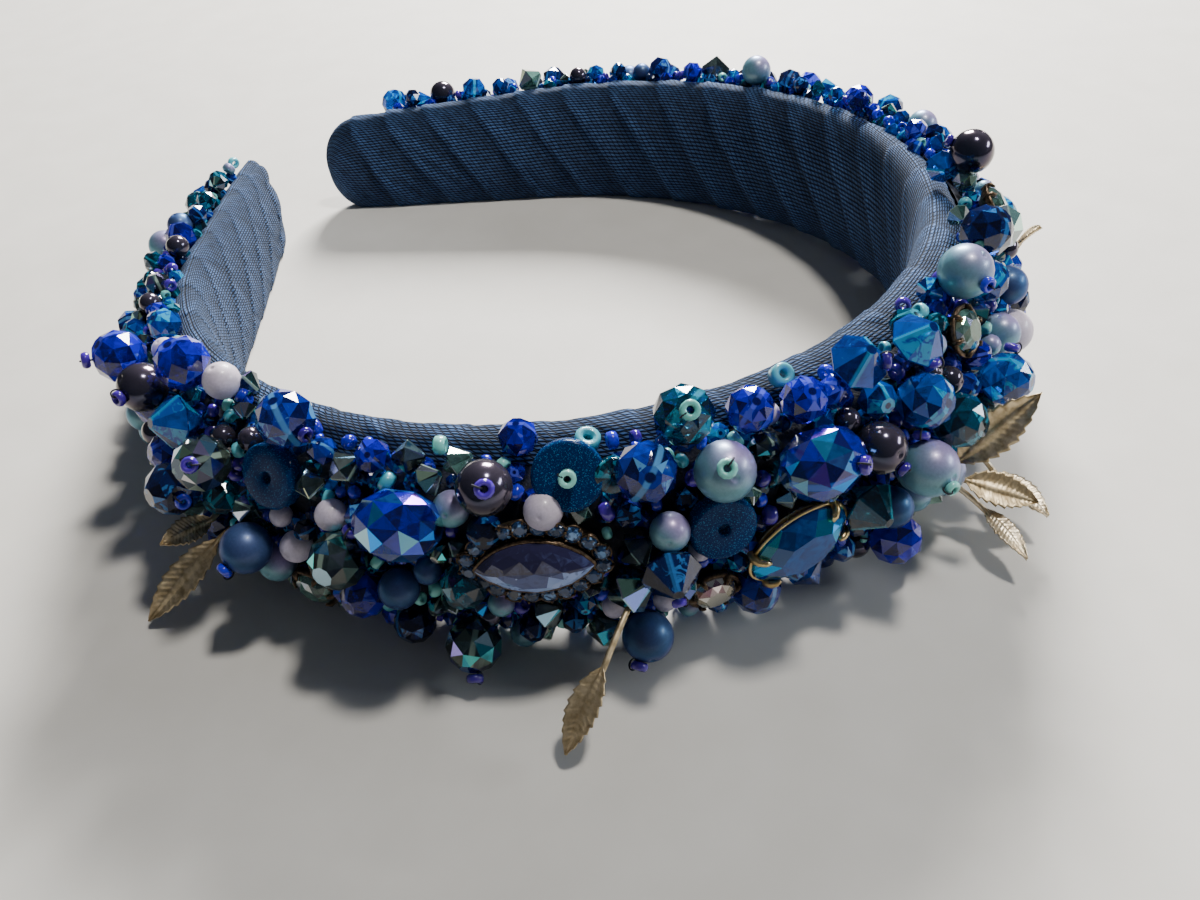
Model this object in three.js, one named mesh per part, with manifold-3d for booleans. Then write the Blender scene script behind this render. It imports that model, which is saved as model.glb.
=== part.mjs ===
// A padded headband wound with ribbon, its outer side sewn full of beads, crystals and pearls.
// Millimetres, +Z up. It lies on its side edge, with the crown towards -Y and the two tips towards +Y.
import * as THREE from 'three';
import { mergeVertices } from 'three/addons/utils/BufferGeometryUtils.js';
import Module from 'manifold-3d';

const wasm = await Module();
wasm.setup();

// Plan of the band's inner face: each half runs from the crown through two arcs to a straight leg.
const crownRadius = 55;
const crownArcLength = 82;
const sideRadius = 60;
const sideArcLength = 51;
const legLength = 47;
const halfLength = crownArcLength + sideArcLength + legLength;

// Section of the padding: height from the mid-plane, depth from inner face to the outer side's top.
const crownHalfHeight = 13.2;
const crownDepth = 9;
const innerCrowning = 3;
const sectionPoints = 12;
const bandTaper = [
  { along: 0, height: 1, depth: 1 },
  { along: 0.5, height: 0.955, depth: 0.93 },
  { along: 0.75, height: 0.87, depth: 0.8 },
  { along: 0.9, height: 0.79, depth: 0.68 },
  { along: 1, height: 0.71, depth: 0.58 },
];

// Ribbon wound over the padding in slanting turns, each lying on the edge of the one before.
const ribbonPitch = 10;
const ribbonStep = 0.5;
const ribbonOverlap = 0.6;
const ribbonSlant = 4;
const slantFade = 25;
const tipRounding = 8;
const tipRings = 4;
const gatherFolds = 5;
const gatherDepth = 0.08;

// Stitched bed on the outer side, which carries the beads. Its flat faces sag by up to bedSag.
const gap = 0.3;
const bedSag = 0.35;
const bedCrownDepth = 3.4;
const bedTipDepth = 2.2;
const bedEdgeShare = 0.6;
const bedReach = THREE.MathUtils.degToRad(84);
const bedTipClearance = 4;
const bedStations = 13;
const bedPoints = 7;

// Beads of the bed, larger at the crown than at the tips.
const crownBeadRadius = 3;
const tipBeadRadius = 2.4;
const crownBeadSpacing = 9.6;
const tipBeadSpacing = 10.4;
const beadSink = 0.4;
const deepestSink = 0.8;
const beadSizeSpread = 0.18;
const beadJitter = 0.3;
const beadSeed = 20;
const bedBeadSides = 10;
const cutShare = 0.8;
const seatRadius = 1.6;
const seatFromStand = 0.3;

// Height of the mid-plane over the surface at the crown; the tips' padded edges rest there too.
const crownReach = 18;
const tipFlat = 0.7;

// Main stones and beads: diameters, and thicknesses where they aren't round.
const stoneSizes = {
  mistPearl: 7.2,
  graphitePearl: 6.6,
  nightPearl: 6.6,
  blushPearl: 4.8,
  cutRound: 7,
  cutSmallRound: 5.6,
  cutOval: 10,
  bicone: 7.2,
  disc: 8.4,
};
const discThickness = 2.4;
const ovalWidthShare = 0.82;
const biconeDepthShare = 0.9;
const stoneSides = 8;

// The marquise stone with its ring of small stones.
const marquiseLength = 14;
const marquiseWidth = 6.6;
const marquiseDepth = 3.4;
const marquisePoints = 16;
const haloStoneRadius = 1.25;
const haloMargin = 1.7;
const haloStoneCount = 15;
const haloPlateThickness = 1.2;

// The big oval in four claws, and the small stones in cups.
const clawOvalLength = 13.5;
const clawOvalWidth = 8.8;
const clawOvalDepth = 4.6;
const clawRadius = 0.6;
const clawLength = 4.2;
const cupStoneRadius = 2.9;
const cupHeight = 2.6;
const cupWall = 0.6;

// Metal leaves on wire stems.
const leafThickness = 0.5;
const leafWireRadius = 0.45;
const leafStations = 6;
const leafToothShare = 0.14;
const leafRibHeight = 0.35;

// Where each main stone sits: along the band from the crown, across its outer side (0 is the middle,
// 90 the upper edge), and how far the stone stands off the bed beneath it.
const stoneTable = [
  { name: 'mist_pearl_front', kind: 'mistPearl', along: -28.5, across: 40, stand: 0 },
  { name: 'mist_pearl_side', kind: 'mistPearl', along: -8.5, across: 8, stand: 2.2 },
  { name: 'mist_pearl_right', kind: 'mistPearl', along: 8, across: 65, stand: 0 },
  { name: 'graphite_pearl_front', kind: 'graphitePearl', along: -50, across: 48, stand: 0.5 },
  { name: 'graphite_pearl_side', kind: 'graphitePearl', along: -12.5, across: 23, stand: 0 },
  { name: 'graphite_pearl_left', kind: 'graphitePearl', along: -94.5, across: 52, stand: 1.2 },
  { name: 'graphite_pearl_back', kind: 'graphitePearl', along: 37, across: 74, stand: 0.5 },
  { name: 'night_pearl_left', kind: 'nightPearl', along: -76.5, across: 0, stand: 1 },
  { name: 'night_pearl_front', kind: 'nightPearl', along: -37, across: -41, stand: 1.2 },
  { name: 'blush_pearl_left', kind: 'blushPearl', along: -83.5, across: 74, stand: 0 },
  { name: 'cobalt_round_left', kind: 'cutRound', along: -100.5, across: 57, stand: 2.2 },
  { name: 'cobalt_round_side', kind: 'cutRound', along: -90, across: 72, stand: 0 },
  { name: 'sapphire_round_left', kind: 'cutRound', along: -71.5, across: 68, stand: 0 },
  { name: 'sapphire_round_front', kind: 'cutRound', along: -35.5, across: 47, stand: 0 },
  { name: 'teal_round_front', kind: 'cutRound', along: -31, across: 66, stand: 0 },
  { name: 'smoke_round_left', kind: 'cutRound', along: -80.5, across: 38, stand: 1.5 },
  { name: 'ink_round_left', kind: 'cutRound', along: -86.5, across: 15, stand: 1.5 },
  { name: 'smoke_round_front', kind: 'cutRound', along: -65, across: 9, stand: 0.5 },
  { name: 'smoke_round_low', kind: 'cutRound', along: -54, across: -41, stand: 0.8 },
  { name: 'cobalt_round_low', kind: 'cutRound', along: -8, across: -44, stand: 0.5 },
  { name: 'azure_round_side', kind: 'cutRound', along: -6.5, across: 33, stand: 0.5 },
  { name: 'azure_round_right', kind: 'cutRound', along: 7.5, across: 10, stand: 1 },
  { name: 'teal_round_right', kind: 'cutRound', along: -2, across: 13, stand: 0.5 },
  { name: 'navy_round_right', kind: 'cutRound', along: 16.5, across: 67, stand: 0.5 },
  { name: 'azure_round_back', kind: 'cutRound', along: 62, across: 24, stand: 0.5 },
  { name: 'cobalt_round_back', kind: 'cutRound', along: 84, across: -12, stand: 0.5 },
  { name: 'cobalt_bead_back', kind: 'cutSmallRound', along: -24.5, across: 61, stand: 0 },
  { name: 'cobalt_bead_top', kind: 'cutSmallRound', along: -19, across: 57, stand: 0 },
  { name: 'sky_oval_front', kind: 'cutOval', along: -58, across: 32, stand: 0.6 },
  { name: 'sky_oval_side', kind: 'cutOval', along: -20, across: 33, stand: 1.4 },
  { name: 'navy_bicone_front', kind: 'bicone', along: -34.5, across: 0, stand: 0.5 },
  { name: 'azure_bicone_top', kind: 'bicone', along: -12, across: 62, stand: 0 },
  { name: 'azure_bicone_right', kind: 'bicone', along: -4.5, across: 57, stand: 0.5 },
  { name: 'azure_bicone_left', kind: 'bicone', along: -88, across: 45, stand: 0 },
  { name: 'teal_bicone_side', kind: 'bicone', along: -14, across: -4, stand: 0 },
  { name: 'teal_disc_front', kind: 'disc', along: -42.5, across: 49, stand: 0 },
  { name: 'ink_disc_left', kind: 'disc', along: -73.5, across: 38, stand: 0.4 },
  { name: 'navy_disc_front', kind: 'disc', along: -29, across: 11, stand: 0 },
];
const marquisePlace = { along: -46.5, across: 9, stand: 0 };
const clawOvalPlace = { along: -21.5, across: -10, stand: 0, turn: -0.35 };
const cupTable = [
  { name: 'clear_stone_cup', along: -30, across: -28, stand: 0 },
  { name: 'mint_stone_cup_right', along: 4.5, across: 42, stand: 0.1 },
  { name: 'mint_stone_cup_back', along: 31, across: 52, stand: 0 },
  { name: 'mint_stone_cup_left', along: -72, across: -30, stand: 0 },
];

// Leaves: where the wire leaves the bed, then how far the blade's root and its tip lie from there,
// outwards, along the band and upwards.
const leafTable = [
  { name: 'leaf_left_long', along: -83, across: -12, root: [3, -1.2, -1.2], tip: [14.2, -6, -10], width: 4.6 },
  { name: 'leaf_left_short', along: -85, across: -5, root: [2.6, 0.8, 0], tip: [9.6, -0.4, 0.1], width: 3.8 },
  { name: 'leaf_front', along: -36.5, across: -14, root: [9, -6.9, -4.4], tip: [14, -12.9, -12.3], width: 4.2 },
  { name: 'leaf_right_upper', along: 0.5, across: -22, root: [4, -1.2, 1.6], tip: [11.3, 3.7, 12.6], width: 5.6 },
  { name: 'leaf_right_middle', along: 3, across: -29, root: [4, -0.5, -2.9], tip: [13, 3, -5.3], width: 5 },
  { name: 'leaf_right_pale', along: 6, across: -24, root: [6, 1, -6], tip: [14.2, -0.8, -8.8], width: 4.4 },
  { name: 'leaf_right_lower', along: 1, across: -36, root: [8, 1.8, -4.7], tip: [16, -2, -6.6], width: 3.2 },
  { name: 'leaf_right_back', along: 36, across: 4, root: [3.5, 0.5, 1.5], tip: [6.4, -1, 5.6], width: 4 },
];

// Finishes: colour, roughness and metalness.
const finishes = {
  ribbon: [0x4c6078, 0.9, 0],
  bed: [0x1c2a5c, 0.55, 0],
  mistPearl: [0x8fa3c9, 0.35, 0],
  graphitePearl: [0x2f2f47, 0.3, 0],
  nightPearl: [0x2b3f86, 0.45, 0],
  blushPearl: [0xd9d3e2, 0.35, 0],
  cutRound: [0x1a44b8, 0.08, 0],
  cutSmallRound: [0x1b2fc0, 0.08, 0],
  cutOval: [0x1f5fd0, 0.06, 0],
  bicone: [0x1667b5, 0.06, 0],
  disc: [0x17406c, 0.2, 0],
  marquise: [0x5a74b8, 0.06, 0],
  clawOval: [0x1e78c8, 0.06, 0],
  cup: [0xa9c8bf, 0.1, 0],
  leaf: [0x8f7d55, 0.45, 1],
};

// Small deterministic random source, so that every build gives the same bed.
function randomSource(seed) {
  let state = seed;
  return () => {
    state = (state + 0x6d2b79f5) | 0;
    let mixed = Math.imul(state ^ (state >>> 15), 1 | state);
    mixed = (mixed + Math.imul(mixed ^ (mixed >>> 7), 61 | mixed)) ^ mixed;
    return ((mixed ^ (mixed >>> 14)) >>> 0) / 4294967296;
  };
}

// Plan point, outward direction and running direction of the inner face, a signed length from the crown.
function planAt(along) {
  const side = along < 0 ? -1 : 1;
  const stretches = [[crownArcLength, crownRadius], [sideArcLength, sideRadius]];
  let left = Math.abs(along);
  let heading = 0;
  let x = 0;
  let y = 0;
  for (const [length, radius] of stretches) {
    const run = Math.min(left, length);
    const next = heading + run / radius;
    x += radius * (Math.sin(next) - Math.sin(heading));
    y += radius * (Math.cos(heading) - Math.cos(next));
    heading = next;
    left -= run;
  }
  x += left * Math.cos(heading);
  y += left * Math.sin(heading);
  return {
    point: new THREE.Vector3(side * x, y, 0),
    out: new THREE.Vector3(side * Math.sin(heading), -Math.cos(heading), 0),
    run: new THREE.Vector3(Math.cos(heading), side * Math.sin(heading), 0),
  };
}

// A column of the band's taper at a signed length from the crown.
function taperAt(along, column) {
  const share = Math.min(Math.abs(along) / halfLength, 1);
  const upper = Math.max(1, bandTaper.findIndex((row) => row.along >= share));
  const from = bandTaper[upper - 1];
  const to = bandTaper[upper];
  const part = (share - from.along) / (to.along - from.along);
  return THREE.MathUtils.lerp(from[column], to[column], part);
}

function halfHeightAt(along) {
  return crownHalfHeight * taperAt(along, 'height');
}

function depthAt(along) {
  return crownDepth * taperAt(along, 'depth');
}

// Point and outward normal on the band's outer side; lift is measured off the padding's surface.
function outerPlace(along, across, lift) {
  const { point, out, run } = planAt(along);
  const height = halfHeightAt(along);
  const rise = depthAt(along) - innerCrowning;
  const normal2 = new THREE.Vector2(Math.cos(across) * height, Math.sin(across) * rise).normalize();
  const reach = innerCrowning + rise * Math.cos(across) + lift * normal2.x;
  const position = point.clone().addScaledVector(out, reach);
  position.z = height * Math.sin(across) + lift * normal2.y;
  const normal = out.clone().multiplyScalar(normal2.x);
  normal.z = normal2.y;
  return { position, normal, run };
}

// Thickness of the stitched bed, thinner towards the tips and the band's edges.
function bedDepthAt(along, across) {
  const share = Math.min(Math.abs(along) / halfLength, 1);
  const middle = THREE.MathUtils.lerp(bedCrownDepth, bedTipDepth, share);
  return middle * THREE.MathUtils.lerp(1, bedEdgeShare, Math.abs(across) / bedReach);
}

// How far the bed goes round the lower edge: to bedReach, or less where it would stand on the surface.
function lowerReachAt(along) {
  const { point } = planAt(along);
  const room = -restHeight(point.y) - ribbonStep - gap - bedSag - bedTipDepth;
  return Math.asin(Math.min(room / halfHeightAt(along), Math.sin(bedReach)));
}

function bedSurface(along, across, lift) {
  return outerPlace(along, across, ribbonStep + gap + bedSag + bedDepthAt(along, across) + lift);
}

// Lowest height, from the mid-plane, that anything may reach at a place along +Y.
function restHeight(y) {
  return -crownReach + (crownReach - tipReach) * (y / planDepth);
}

const planDepth = planAt(halfLength).point.y;
const tipReach = crownHalfHeight * bandTaper.at(-1).height - tipFlat;
const restTilt = Math.atan2(crownReach - tipReach, planDepth);

// Closed skin over rings of equal point counts. Its ends are fans, or for a bowed strip, whose ring runs
// out along one face and back along the other, rows of faces between the two.
function loft(rings, bowed = false) {
  const positions = rings.flat().flatMap((point) => point.toArray());
  const count = rings[0].length;
  const index = [];
  for (let ring = 0; ring < rings.length - 1; ring++) {
    for (let i = 0; i < count; i++) {
      const a = ring * count + i;
      const b = ring * count + ((i + 1) % count);
      index.push(a, b, a + count, b, b + count, a + count);
    }
  }
  const addFace = (a, b, c, first) => (first ? index.push(a, c, b) : index.push(a, b, c));
  for (const [ring, start] of [[rings[0], 0], [rings.at(-1), (rings.length - 1) * count]]) {
    const first = start === 0;
    if (bowed) {
      for (let i = 0; i < count / 2 - 1; i++) {
        const back = count - 1 - i;
        addFace(start + i, start + i + 1, start + back, first);
        addFace(start + i + 1, start + back - 1, start + back, first);
      }
    } else {
      const middle = ring.reduce((sum, point) => sum.add(point), new THREE.Vector3());
      const centre = positions.length / 3;
      positions.push(...middle.divideScalar(count).toArray());
      for (let i = 0; i < count; i++) {
        addFace(start + i, start + ((i + 1) % count), centre, first);
      }
    }
  }
  const geometry = new THREE.BufferGeometry();
  geometry.setAttribute('position', new THREE.Float32BufferAttribute(positions, 3));
  geometry.setIndex(index);
  return geometry;
}

// Shared vertices only, with the flat triangles at poles left out.
function weld(geometry) {
  const bare = geometry.clone();
  bare.deleteAttribute('normal');
  bare.deleteAttribute('uv');
  const merged = mergeVertices(bare, 1e-4);
  const corners = merged.index.array;
  const kept = [];
  for (let i = 0; i < corners.length; i += 3) {
    const [a, b, c] = [corners[i], corners[i + 1], corners[i + 2]];
    if (a !== b && b !== c && c !== a) kept.push(a, b, c);
  }
  merged.setIndex(kept);
  return merged;
}

function toSolid(geometry) {
  const welded = weld(geometry);
  const mesh = new wasm.Mesh({
    numProp: 3,
    vertProperties: new Float32Array(welded.attributes.position.array),
    triVerts: new Uint32Array(welded.index.array),
  });
  return new wasm.Manifold(mesh);
}

function fromSolid(solid) {
  const mesh = solid.getMesh();
  const geometry = new THREE.BufferGeometry();
  geometry.setAttribute('position', new THREE.Float32BufferAttribute(mesh.vertProperties, 3));
  geometry.setIndex(Array.from(mesh.triVerts));
  return geometry;
}

// A turned shape from half-profile points [radius, height] as shares of its radius.
function turned(shares, radius, sides) {
  const profile = shares.map(([r, h]) => new THREE.Vector2(r * radius, h * radius));
  return new THREE.LatheGeometry(profile, sides);
}

const cutProfile = [[0, -0.88], [0.42, -0.88], [0.9, -0.36], [0.9, 0.36], [0.42, 0.88], [0, 0.88]];
const biconeProfile = [
  [0, -biconeDepthShare], [0.16, -biconeDepthShare], [1, 0], [0.16, biconeDepthShare], [0, biconeDepthShare],
];
const fieldProfile = [[0, -0.94], [1, 0], [0.42, 0.88], [0, 0.88]];

function roundBead(radius, sides, rows) {
  return new THREE.SphereGeometry(radius, sides, rows);
}

function cutBead(radius, sides) {
  return turned(cutProfile, radius / 0.9, sides);
}

function biconeBead(radius, sides) {
  return turned(biconeProfile, radius, sides);
}

function fieldBead(radius) {
  return turned(fieldProfile, radius, stoneSides);
}

function discBead(radius) {
  const edge = discThickness / 2 / radius;
  const profile = [[0, -edge], [0.78, -edge], [1, -edge / 3], [1, edge / 3], [0.78, edge], [0, edge]];
  return turned(profile, radius, 10);
}

// Padded band: rings of the section, slanted like the ribbon, with one raised edge a turn.
function bandGeometry() {
  const turns = Math.round((2 * halfLength) / ribbonPitch);
  const pitch = (2 * halfLength) / turns;
  const stations = [];
  for (let turn = 0; turn < turns; turn++) {
    const start = -halfLength + turn * pitch;
    stations.push({ along: start, raise: ribbonStep });
    stations.push({ along: start + pitch - ribbonOverlap, raise: 0 });
  }
  const inside = stations.filter(({ along }) => Math.abs(along) < halfLength - tipRounding);
  const rings = [];
  for (let i = 0; i < tipRings; i++) rings.push(tipRing(-1, i / tipRings));
  inside.forEach(({ along, raise }) => rings.push(sectionRing(along, raise, 1)));
  for (let i = tipRings - 1; i >= 0; i--) rings.push(tipRing(1, i / tipRings));
  const surface = new THREE.BoxGeometry(4 * planDepth, 4 * planDepth, crownReach);
  surface.translate(0, 0, -crownReach / 2).rotateX(restTilt).translate(0, 0, -crownReach);
  return fromSolid(toSolid(loft(rings.reverse())).subtract(toSolid(surface)));
}

// One ring of the section; shrink draws it in towards the middle of the padding.
function sectionRing(along, raise, shrink, gathered = false) {
  const fade = THREE.MathUtils.clamp((halfLength - Math.abs(along)) / slantFade, 0, 1);
  const ring = [];
  for (let i = 0; i < sectionPoints; i++) {
    const angle = (2 * Math.PI * (i + 0.5)) / sectionPoints;
    const slanted = along + ribbonSlant * fade * Math.sin(angle);
    const { point, out } = planAt(slanted);
    const height = halfHeightAt(slanted);
    const rise = depthAt(slanted) - innerCrowning;
    const fold = gathered ? 1 - gatherDepth * (1 + Math.cos(gatherFolds * angle)) : 1;
    const inward = Math.cos(angle) < 0;
    const half = inward ? innerCrowning : rise;
    const flatness = inward ? 0.55 : 1;
    const swing = Math.sign(Math.cos(angle)) * Math.abs(Math.cos(angle)) ** flatness;
    const reach = innerCrowning + (half * swing * shrink + raise * Math.cos(angle)) * fold;
    const place = point.clone().addScaledVector(out, reach);
    place.z = (height * shrink + raise) * Math.sin(angle) * fold;
    ring.push(place);
  }
  return ring;
}

// Rings of a rounded tip, from the point (share 0) back to the full section.
function tipRing(side, share) {
  const back = tipRounding * (1 - Math.sqrt(Math.max(0, 1 - share ** 2)));
  const shrink = 0.28 + 0.72 * Math.sqrt(share * (2 - share));
  const along = side * (halfLength - back * 0.9);
  return sectionRing(along, 0, shrink, side < 0);
}

// Half of the stitched bed: a bowed strip over the outer side, from the crown to near one tip.
function bedGeometry(side) {
  const rings = [];
  for (let i = 0; i <= bedStations; i++) {
    const share = i / bedStations;
    const along = side * THREE.MathUtils.lerp(gap / 2, halfLength - tipRounding - bedTipClearance, share);
    const outside = [];
    const inside = [];
    for (let j = 0; j <= bedPoints; j++) {
      const across = THREE.MathUtils.lerp(-lowerReachAt(along), bedReach, j / bedPoints);
      outside.push(bedSurface(along, across, 0).position);
      inside.unshift(outerPlace(along, across, ribbonStep + gap + bedSag).position);
    }
    rings.push([...outside, ...inside]);
  }
  if (side > 0) rings.reverse();
  return loft(rings, true);
}

// Turn that stands a shape's own Y axis on a normal.
function standOn(normal) {
  return new THREE.Quaternion().setFromUnitVectors(new THREE.Vector3(0, 1, 0), normal);
}

// Turn that lays a shape on a place: X along the band, Y outwards.
function layOn({ normal, run }, turn = 0) {
  const across = new THREE.Vector3().crossVectors(run, normal).normalize();
  const along = new THREE.Vector3().crossVectors(normal, across).normalize();
  const basis = new THREE.Matrix4().makeBasis(along, normal, across);
  const spin = new THREE.Quaternion().setFromAxisAngle(new THREE.Vector3(0, 1, 0), turn);
  return new THREE.Quaternion().setFromRotationMatrix(basis).multiply(spin);
}

const headband = new THREE.Group();
headband.name = 'crystal_headband';
const lying = new THREE.Group();
lying.rotation.x = -restTilt;
headband.add(lying);

function finish(name) {
  const [color, roughness, metalness] = finishes[name];
  return new THREE.MeshStandardMaterial({ color, roughness, metalness });
}

function addMesh(name, geometry, finishName) {
  const mesh = new THREE.Mesh(geometry, finish(finishName));
  mesh.name = name;
  lying.add(mesh);
  return mesh;
}

// Shape of each kind of loose stone, standing on its own Y axis, and its reach from bed to middle.
const stoneShapes = {
  mistPearl: () => roundBead(stoneSizes.mistPearl / 2, 12, 6),
  graphitePearl: () => roundBead(stoneSizes.graphitePearl / 2, 12, 6),
  nightPearl: () => roundBead(stoneSizes.nightPearl / 2, 12, 6),
  blushPearl: () => roundBead(stoneSizes.blushPearl / 2, 10, 6),
  cutRound: () => cutBead(stoneSizes.cutRound / 2, stoneSides),
  cutSmallRound: () => cutBead(stoneSizes.cutSmallRound / 2, stoneSides),
  bicone: () => biconeBead(stoneSizes.bicone / 2, stoneSides),
  disc: () => discBead(stoneSizes.disc / 2),
  cutOval: () => {
    const radius = (stoneSizes.cutOval * ovalWidthShare) / 2;
    const shape = cutBead(radius, stoneSides);
    shape.scale(1, stoneSizes.cutOval / 2 / (0.88 * radius / 0.9), 1);
    return shape.rotateZ(Math.PI / 2);
  },
};

function stoneHalfDepth(kind) {
  if (kind === 'disc') return discThickness / 2;
  if (kind === 'bicone') return (stoneSizes.bicone * biconeDepthShare) / 2;
  if (kind === 'cutOval') return (stoneSizes.cutOval * ovalWidthShare) / 2;
  return stoneSizes[kind] / 2;
}

// What the bed's beads keep clear of: balls round each stone that is a node of its own.
const keepClear = [];

function keepOff(position, radius) {
  keepClear.push({ position, radius });
}

function addStones() {
  for (const { name, kind, along, across, stand } of stoneTable) {
    const half = stoneHalfDepth(kind);
    const angle = THREE.MathUtils.degToRad(across);
    const place = bedSurface(along, angle, gap + stand + half);
    const mesh = addMesh(name, stoneShapes[kind](), kind);
    mesh.position.copy(place.position);
    mesh.quaternion.copy(layOn(place));
    keepOff(place.position, kind === 'disc' ? stoneSizes.disc / 2 : stoneSizes[kind] / 2);
  }
}

// Half-width of the marquise outline, two arcs meeting in points, at a place along it.
function marquiseHalfWidth(x) {
  const half = marquiseLength / 2;
  const halfWidth = marquiseWidth / 2;
  const radius = (half ** 2 + halfWidth ** 2) / (2 * halfWidth);
  return Math.sqrt(radius ** 2 - x ** 2) - (radius - halfWidth);
}

function marquiseRing(scale, height, margin = 0) {
  const ring = [];
  for (let i = 0; i < marquisePoints; i++) {
    const angle = (-2 * Math.PI * i) / marquisePoints;
    const x = (marquiseLength / 2) * Math.cos(angle);
    const z = Math.sign(Math.sin(angle)) * marquiseHalfWidth(x) * (Math.abs(Math.sin(angle)) > 1e-6 ? 1 : 0);
    const grown = new THREE.Vector2(Math.cos(angle), Math.sin(angle)).multiplyScalar(margin);
    ring.push(new THREE.Vector3(x * scale + grown.x, height, z * scale + grown.y));
  }
  return ring;
}

function addMarquise() {
  const base = haloPlateThickness;
  const girdle = base + marquiseDepth * 0.45;
  const stone = loft([
    marquiseRing(0.5, base / 2),
    marquiseRing(1, girdle),
    marquiseRing(0.98, girdle + 0.3),
    marquiseRing(0.62, base + marquiseDepth),
  ]);
  const plate = loft([marquiseRing(1, 0, haloMargin), marquiseRing(1, base, haloMargin)]);
  let solid = toSolid(plate).add(toSolid(stone));
  for (let i = 0; i < haloStoneCount; i++) {
    const angle = (2 * Math.PI * (i + 0.5)) / haloStoneCount;
    const x = (marquiseLength / 2) * Math.cos(angle);
    const z = Math.sign(Math.sin(angle)) * marquiseHalfWidth(x);
    const small = new THREE.CylinderGeometry(haloStoneRadius * 0.6, haloStoneRadius, 2, 8);
    const margin = haloMargin * 0.75;
    small.translate(x + margin * Math.cos(angle), base + 0.6, z + margin * Math.sin(angle));
    solid = solid.add(toSolid(small));
  }
  const place = bedSurface(marquisePlace.along, THREE.MathUtils.degToRad(marquisePlace.across),
    gap + marquisePlace.stand);
  const mesh = addMesh('marquise_halo', fromSolid(solid), 'marquise');
  mesh.position.copy(place.position);
  mesh.quaternion.copy(layOn(place));
  const run = new THREE.Vector3(1, 0, 0).applyQuaternion(mesh.quaternion);
  for (const share of [-0.8, -0.4, 0, 0.4, 0.8]) {
    const reach = (share * marquiseLength) / 2;
    const middle = place.position.clone().addScaledVector(run, reach).addScaledVector(place.normal, 1.5);
    keepOff(middle, haloMargin + marquiseHalfWidth(reach) + 0.6);
  }
}

function ovalRing(length, width, scale, height, count = 12) {
  const ring = [];
  for (let i = 0; i < count; i++) {
    const angle = (-2 * Math.PI * (i + 0.5)) / count;
    const x = (length / 2) * scale * Math.cos(angle);
    ring.push(new THREE.Vector3(x, height, (width / 2) * scale * Math.sin(angle)));
  }
  return ring;
}

function addClawOval() {
  const ring = (scale, height) => ovalRing(clawOvalLength, clawOvalWidth, scale, height);
  const girdle = clawOvalDepth * 0.5;
  const stone = loft([
    ring(0.45, 0.4), ring(1, girdle), ring(0.98, girdle + 0.3), ring(0.6, clawOvalDepth),
  ]);
  const gallery = loft([ring(0.6, 0), ring(0.78, 1.2)]);
  let solid = toSolid(stone).add(toSolid(gallery));
  for (const angle of [0.75, Math.PI - 0.75, Math.PI + 0.75, -0.75]) {
    const claw = new THREE.CylinderGeometry(clawRadius * 0.7, clawRadius, clawLength, 5);
    claw.rotateZ(-0.35).rotateY(-angle);
    const reach = 0.88;
    claw.translate(
      (clawOvalLength / 2) * reach * Math.cos(angle), clawLength / 2,
      (clawOvalWidth / 2) * reach * Math.sin(angle),
    );
    solid = solid.add(toSolid(claw));
  }
  const { along, across, stand, turn } = clawOvalPlace;
  const place = bedSurface(along, THREE.MathUtils.degToRad(across), gap + stand);
  const mesh = addMesh('claw_oval', fromSolid(solid), 'clawOval');
  mesh.position.copy(place.position);
  mesh.quaternion.copy(layOn(place, turn));
  const run = new THREE.Vector3(1, 0, 0).applyQuaternion(mesh.quaternion);
  for (const share of [-0.6, 0, 0.6]) {
    const middle = place.position.clone().addScaledVector(run, (share * clawOvalLength) / 2);
    keepOff(middle.addScaledVector(place.normal, 2.2), clawOvalWidth / 2 - Math.abs(share) + 0.6);
  }
}

// A round cut stone and the cup that holds it, in one.
function cupGeometry() {
  const outer = cupStoneRadius + cupWall;
  const profile = [
    [0, 0], [cupStoneRadius * 0.5, 0], [outer, cupHeight * 0.55], [outer, cupHeight * 0.8],
    [cupStoneRadius, cupHeight * 0.8], [cupStoneRadius * 0.6, cupHeight * 1.15], [0, cupHeight * 1.15],
  ];
  return new THREE.LatheGeometry(profile.map(([x, y]) => new THREE.Vector2(x, y)), 10);
}

function addCups() {
  for (const { name, along, across, stand } of cupTable) {
    const place = bedSurface(along, THREE.MathUtils.degToRad(across), gap + stand);
    const mesh = addMesh(name, cupGeometry(), 'cup');
    mesh.position.copy(place.position);
    mesh.quaternion.copy(layOn(place));
    const middle = place.position.clone().addScaledVector(place.normal, cupHeight * 0.7);
    keepOff(middle, cupStoneRadius + cupWall);
  }
}

// A toothed blade between root and tip, thicker along its rib, and the wire that carries it.
function leafGeometry(base, root, tip, width) {
  const run = tip.clone().sub(root);
  const side = new THREE.Vector3().crossVectors(run, new THREE.Vector3(0, 0, 1)).normalize();
  const up = new THREE.Vector3().crossVectors(side, run).normalize();
  const rings = [];
  for (let i = 0; i <= leafStations; i++) {
    const share = i / leafStations;
    const tooth = i % 2 ? 1 : 1 - leafToothShare;
    const half = Math.max(0.3, (width / 2) * Math.sin(Math.PI * share ** 0.8) * tooth);
    const middle = root.clone().addScaledVector(run, share);
    const edge = leafThickness / 2;
    const at = (across, lift) => middle.clone().addScaledVector(side, across).addScaledVector(up, lift);
    rings.push([
      at(-half, edge), at(-half, -edge), at(0, -edge - leafRibHeight), at(half, -edge), at(half, edge),
      at(0, edge - leafRibHeight),
    ]);
  }
  const bend = root.clone().addScaledVector(run, 0.15);
  const path = new THREE.CatmullRomCurve3([base, base.clone().lerp(root, 0.6), root, bend]);
  const outline = new THREE.Shape();
  outline.absarc(0, 0, leafWireRadius, 0, 2 * Math.PI);
  const wire = new THREE.ExtrudeGeometry(outline, { extrudePath: path, steps: 3, curveSegments: 3 });
  return fromSolid(toSolid(loft(rings.reverse())).add(toSolid(wire)));
}

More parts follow.
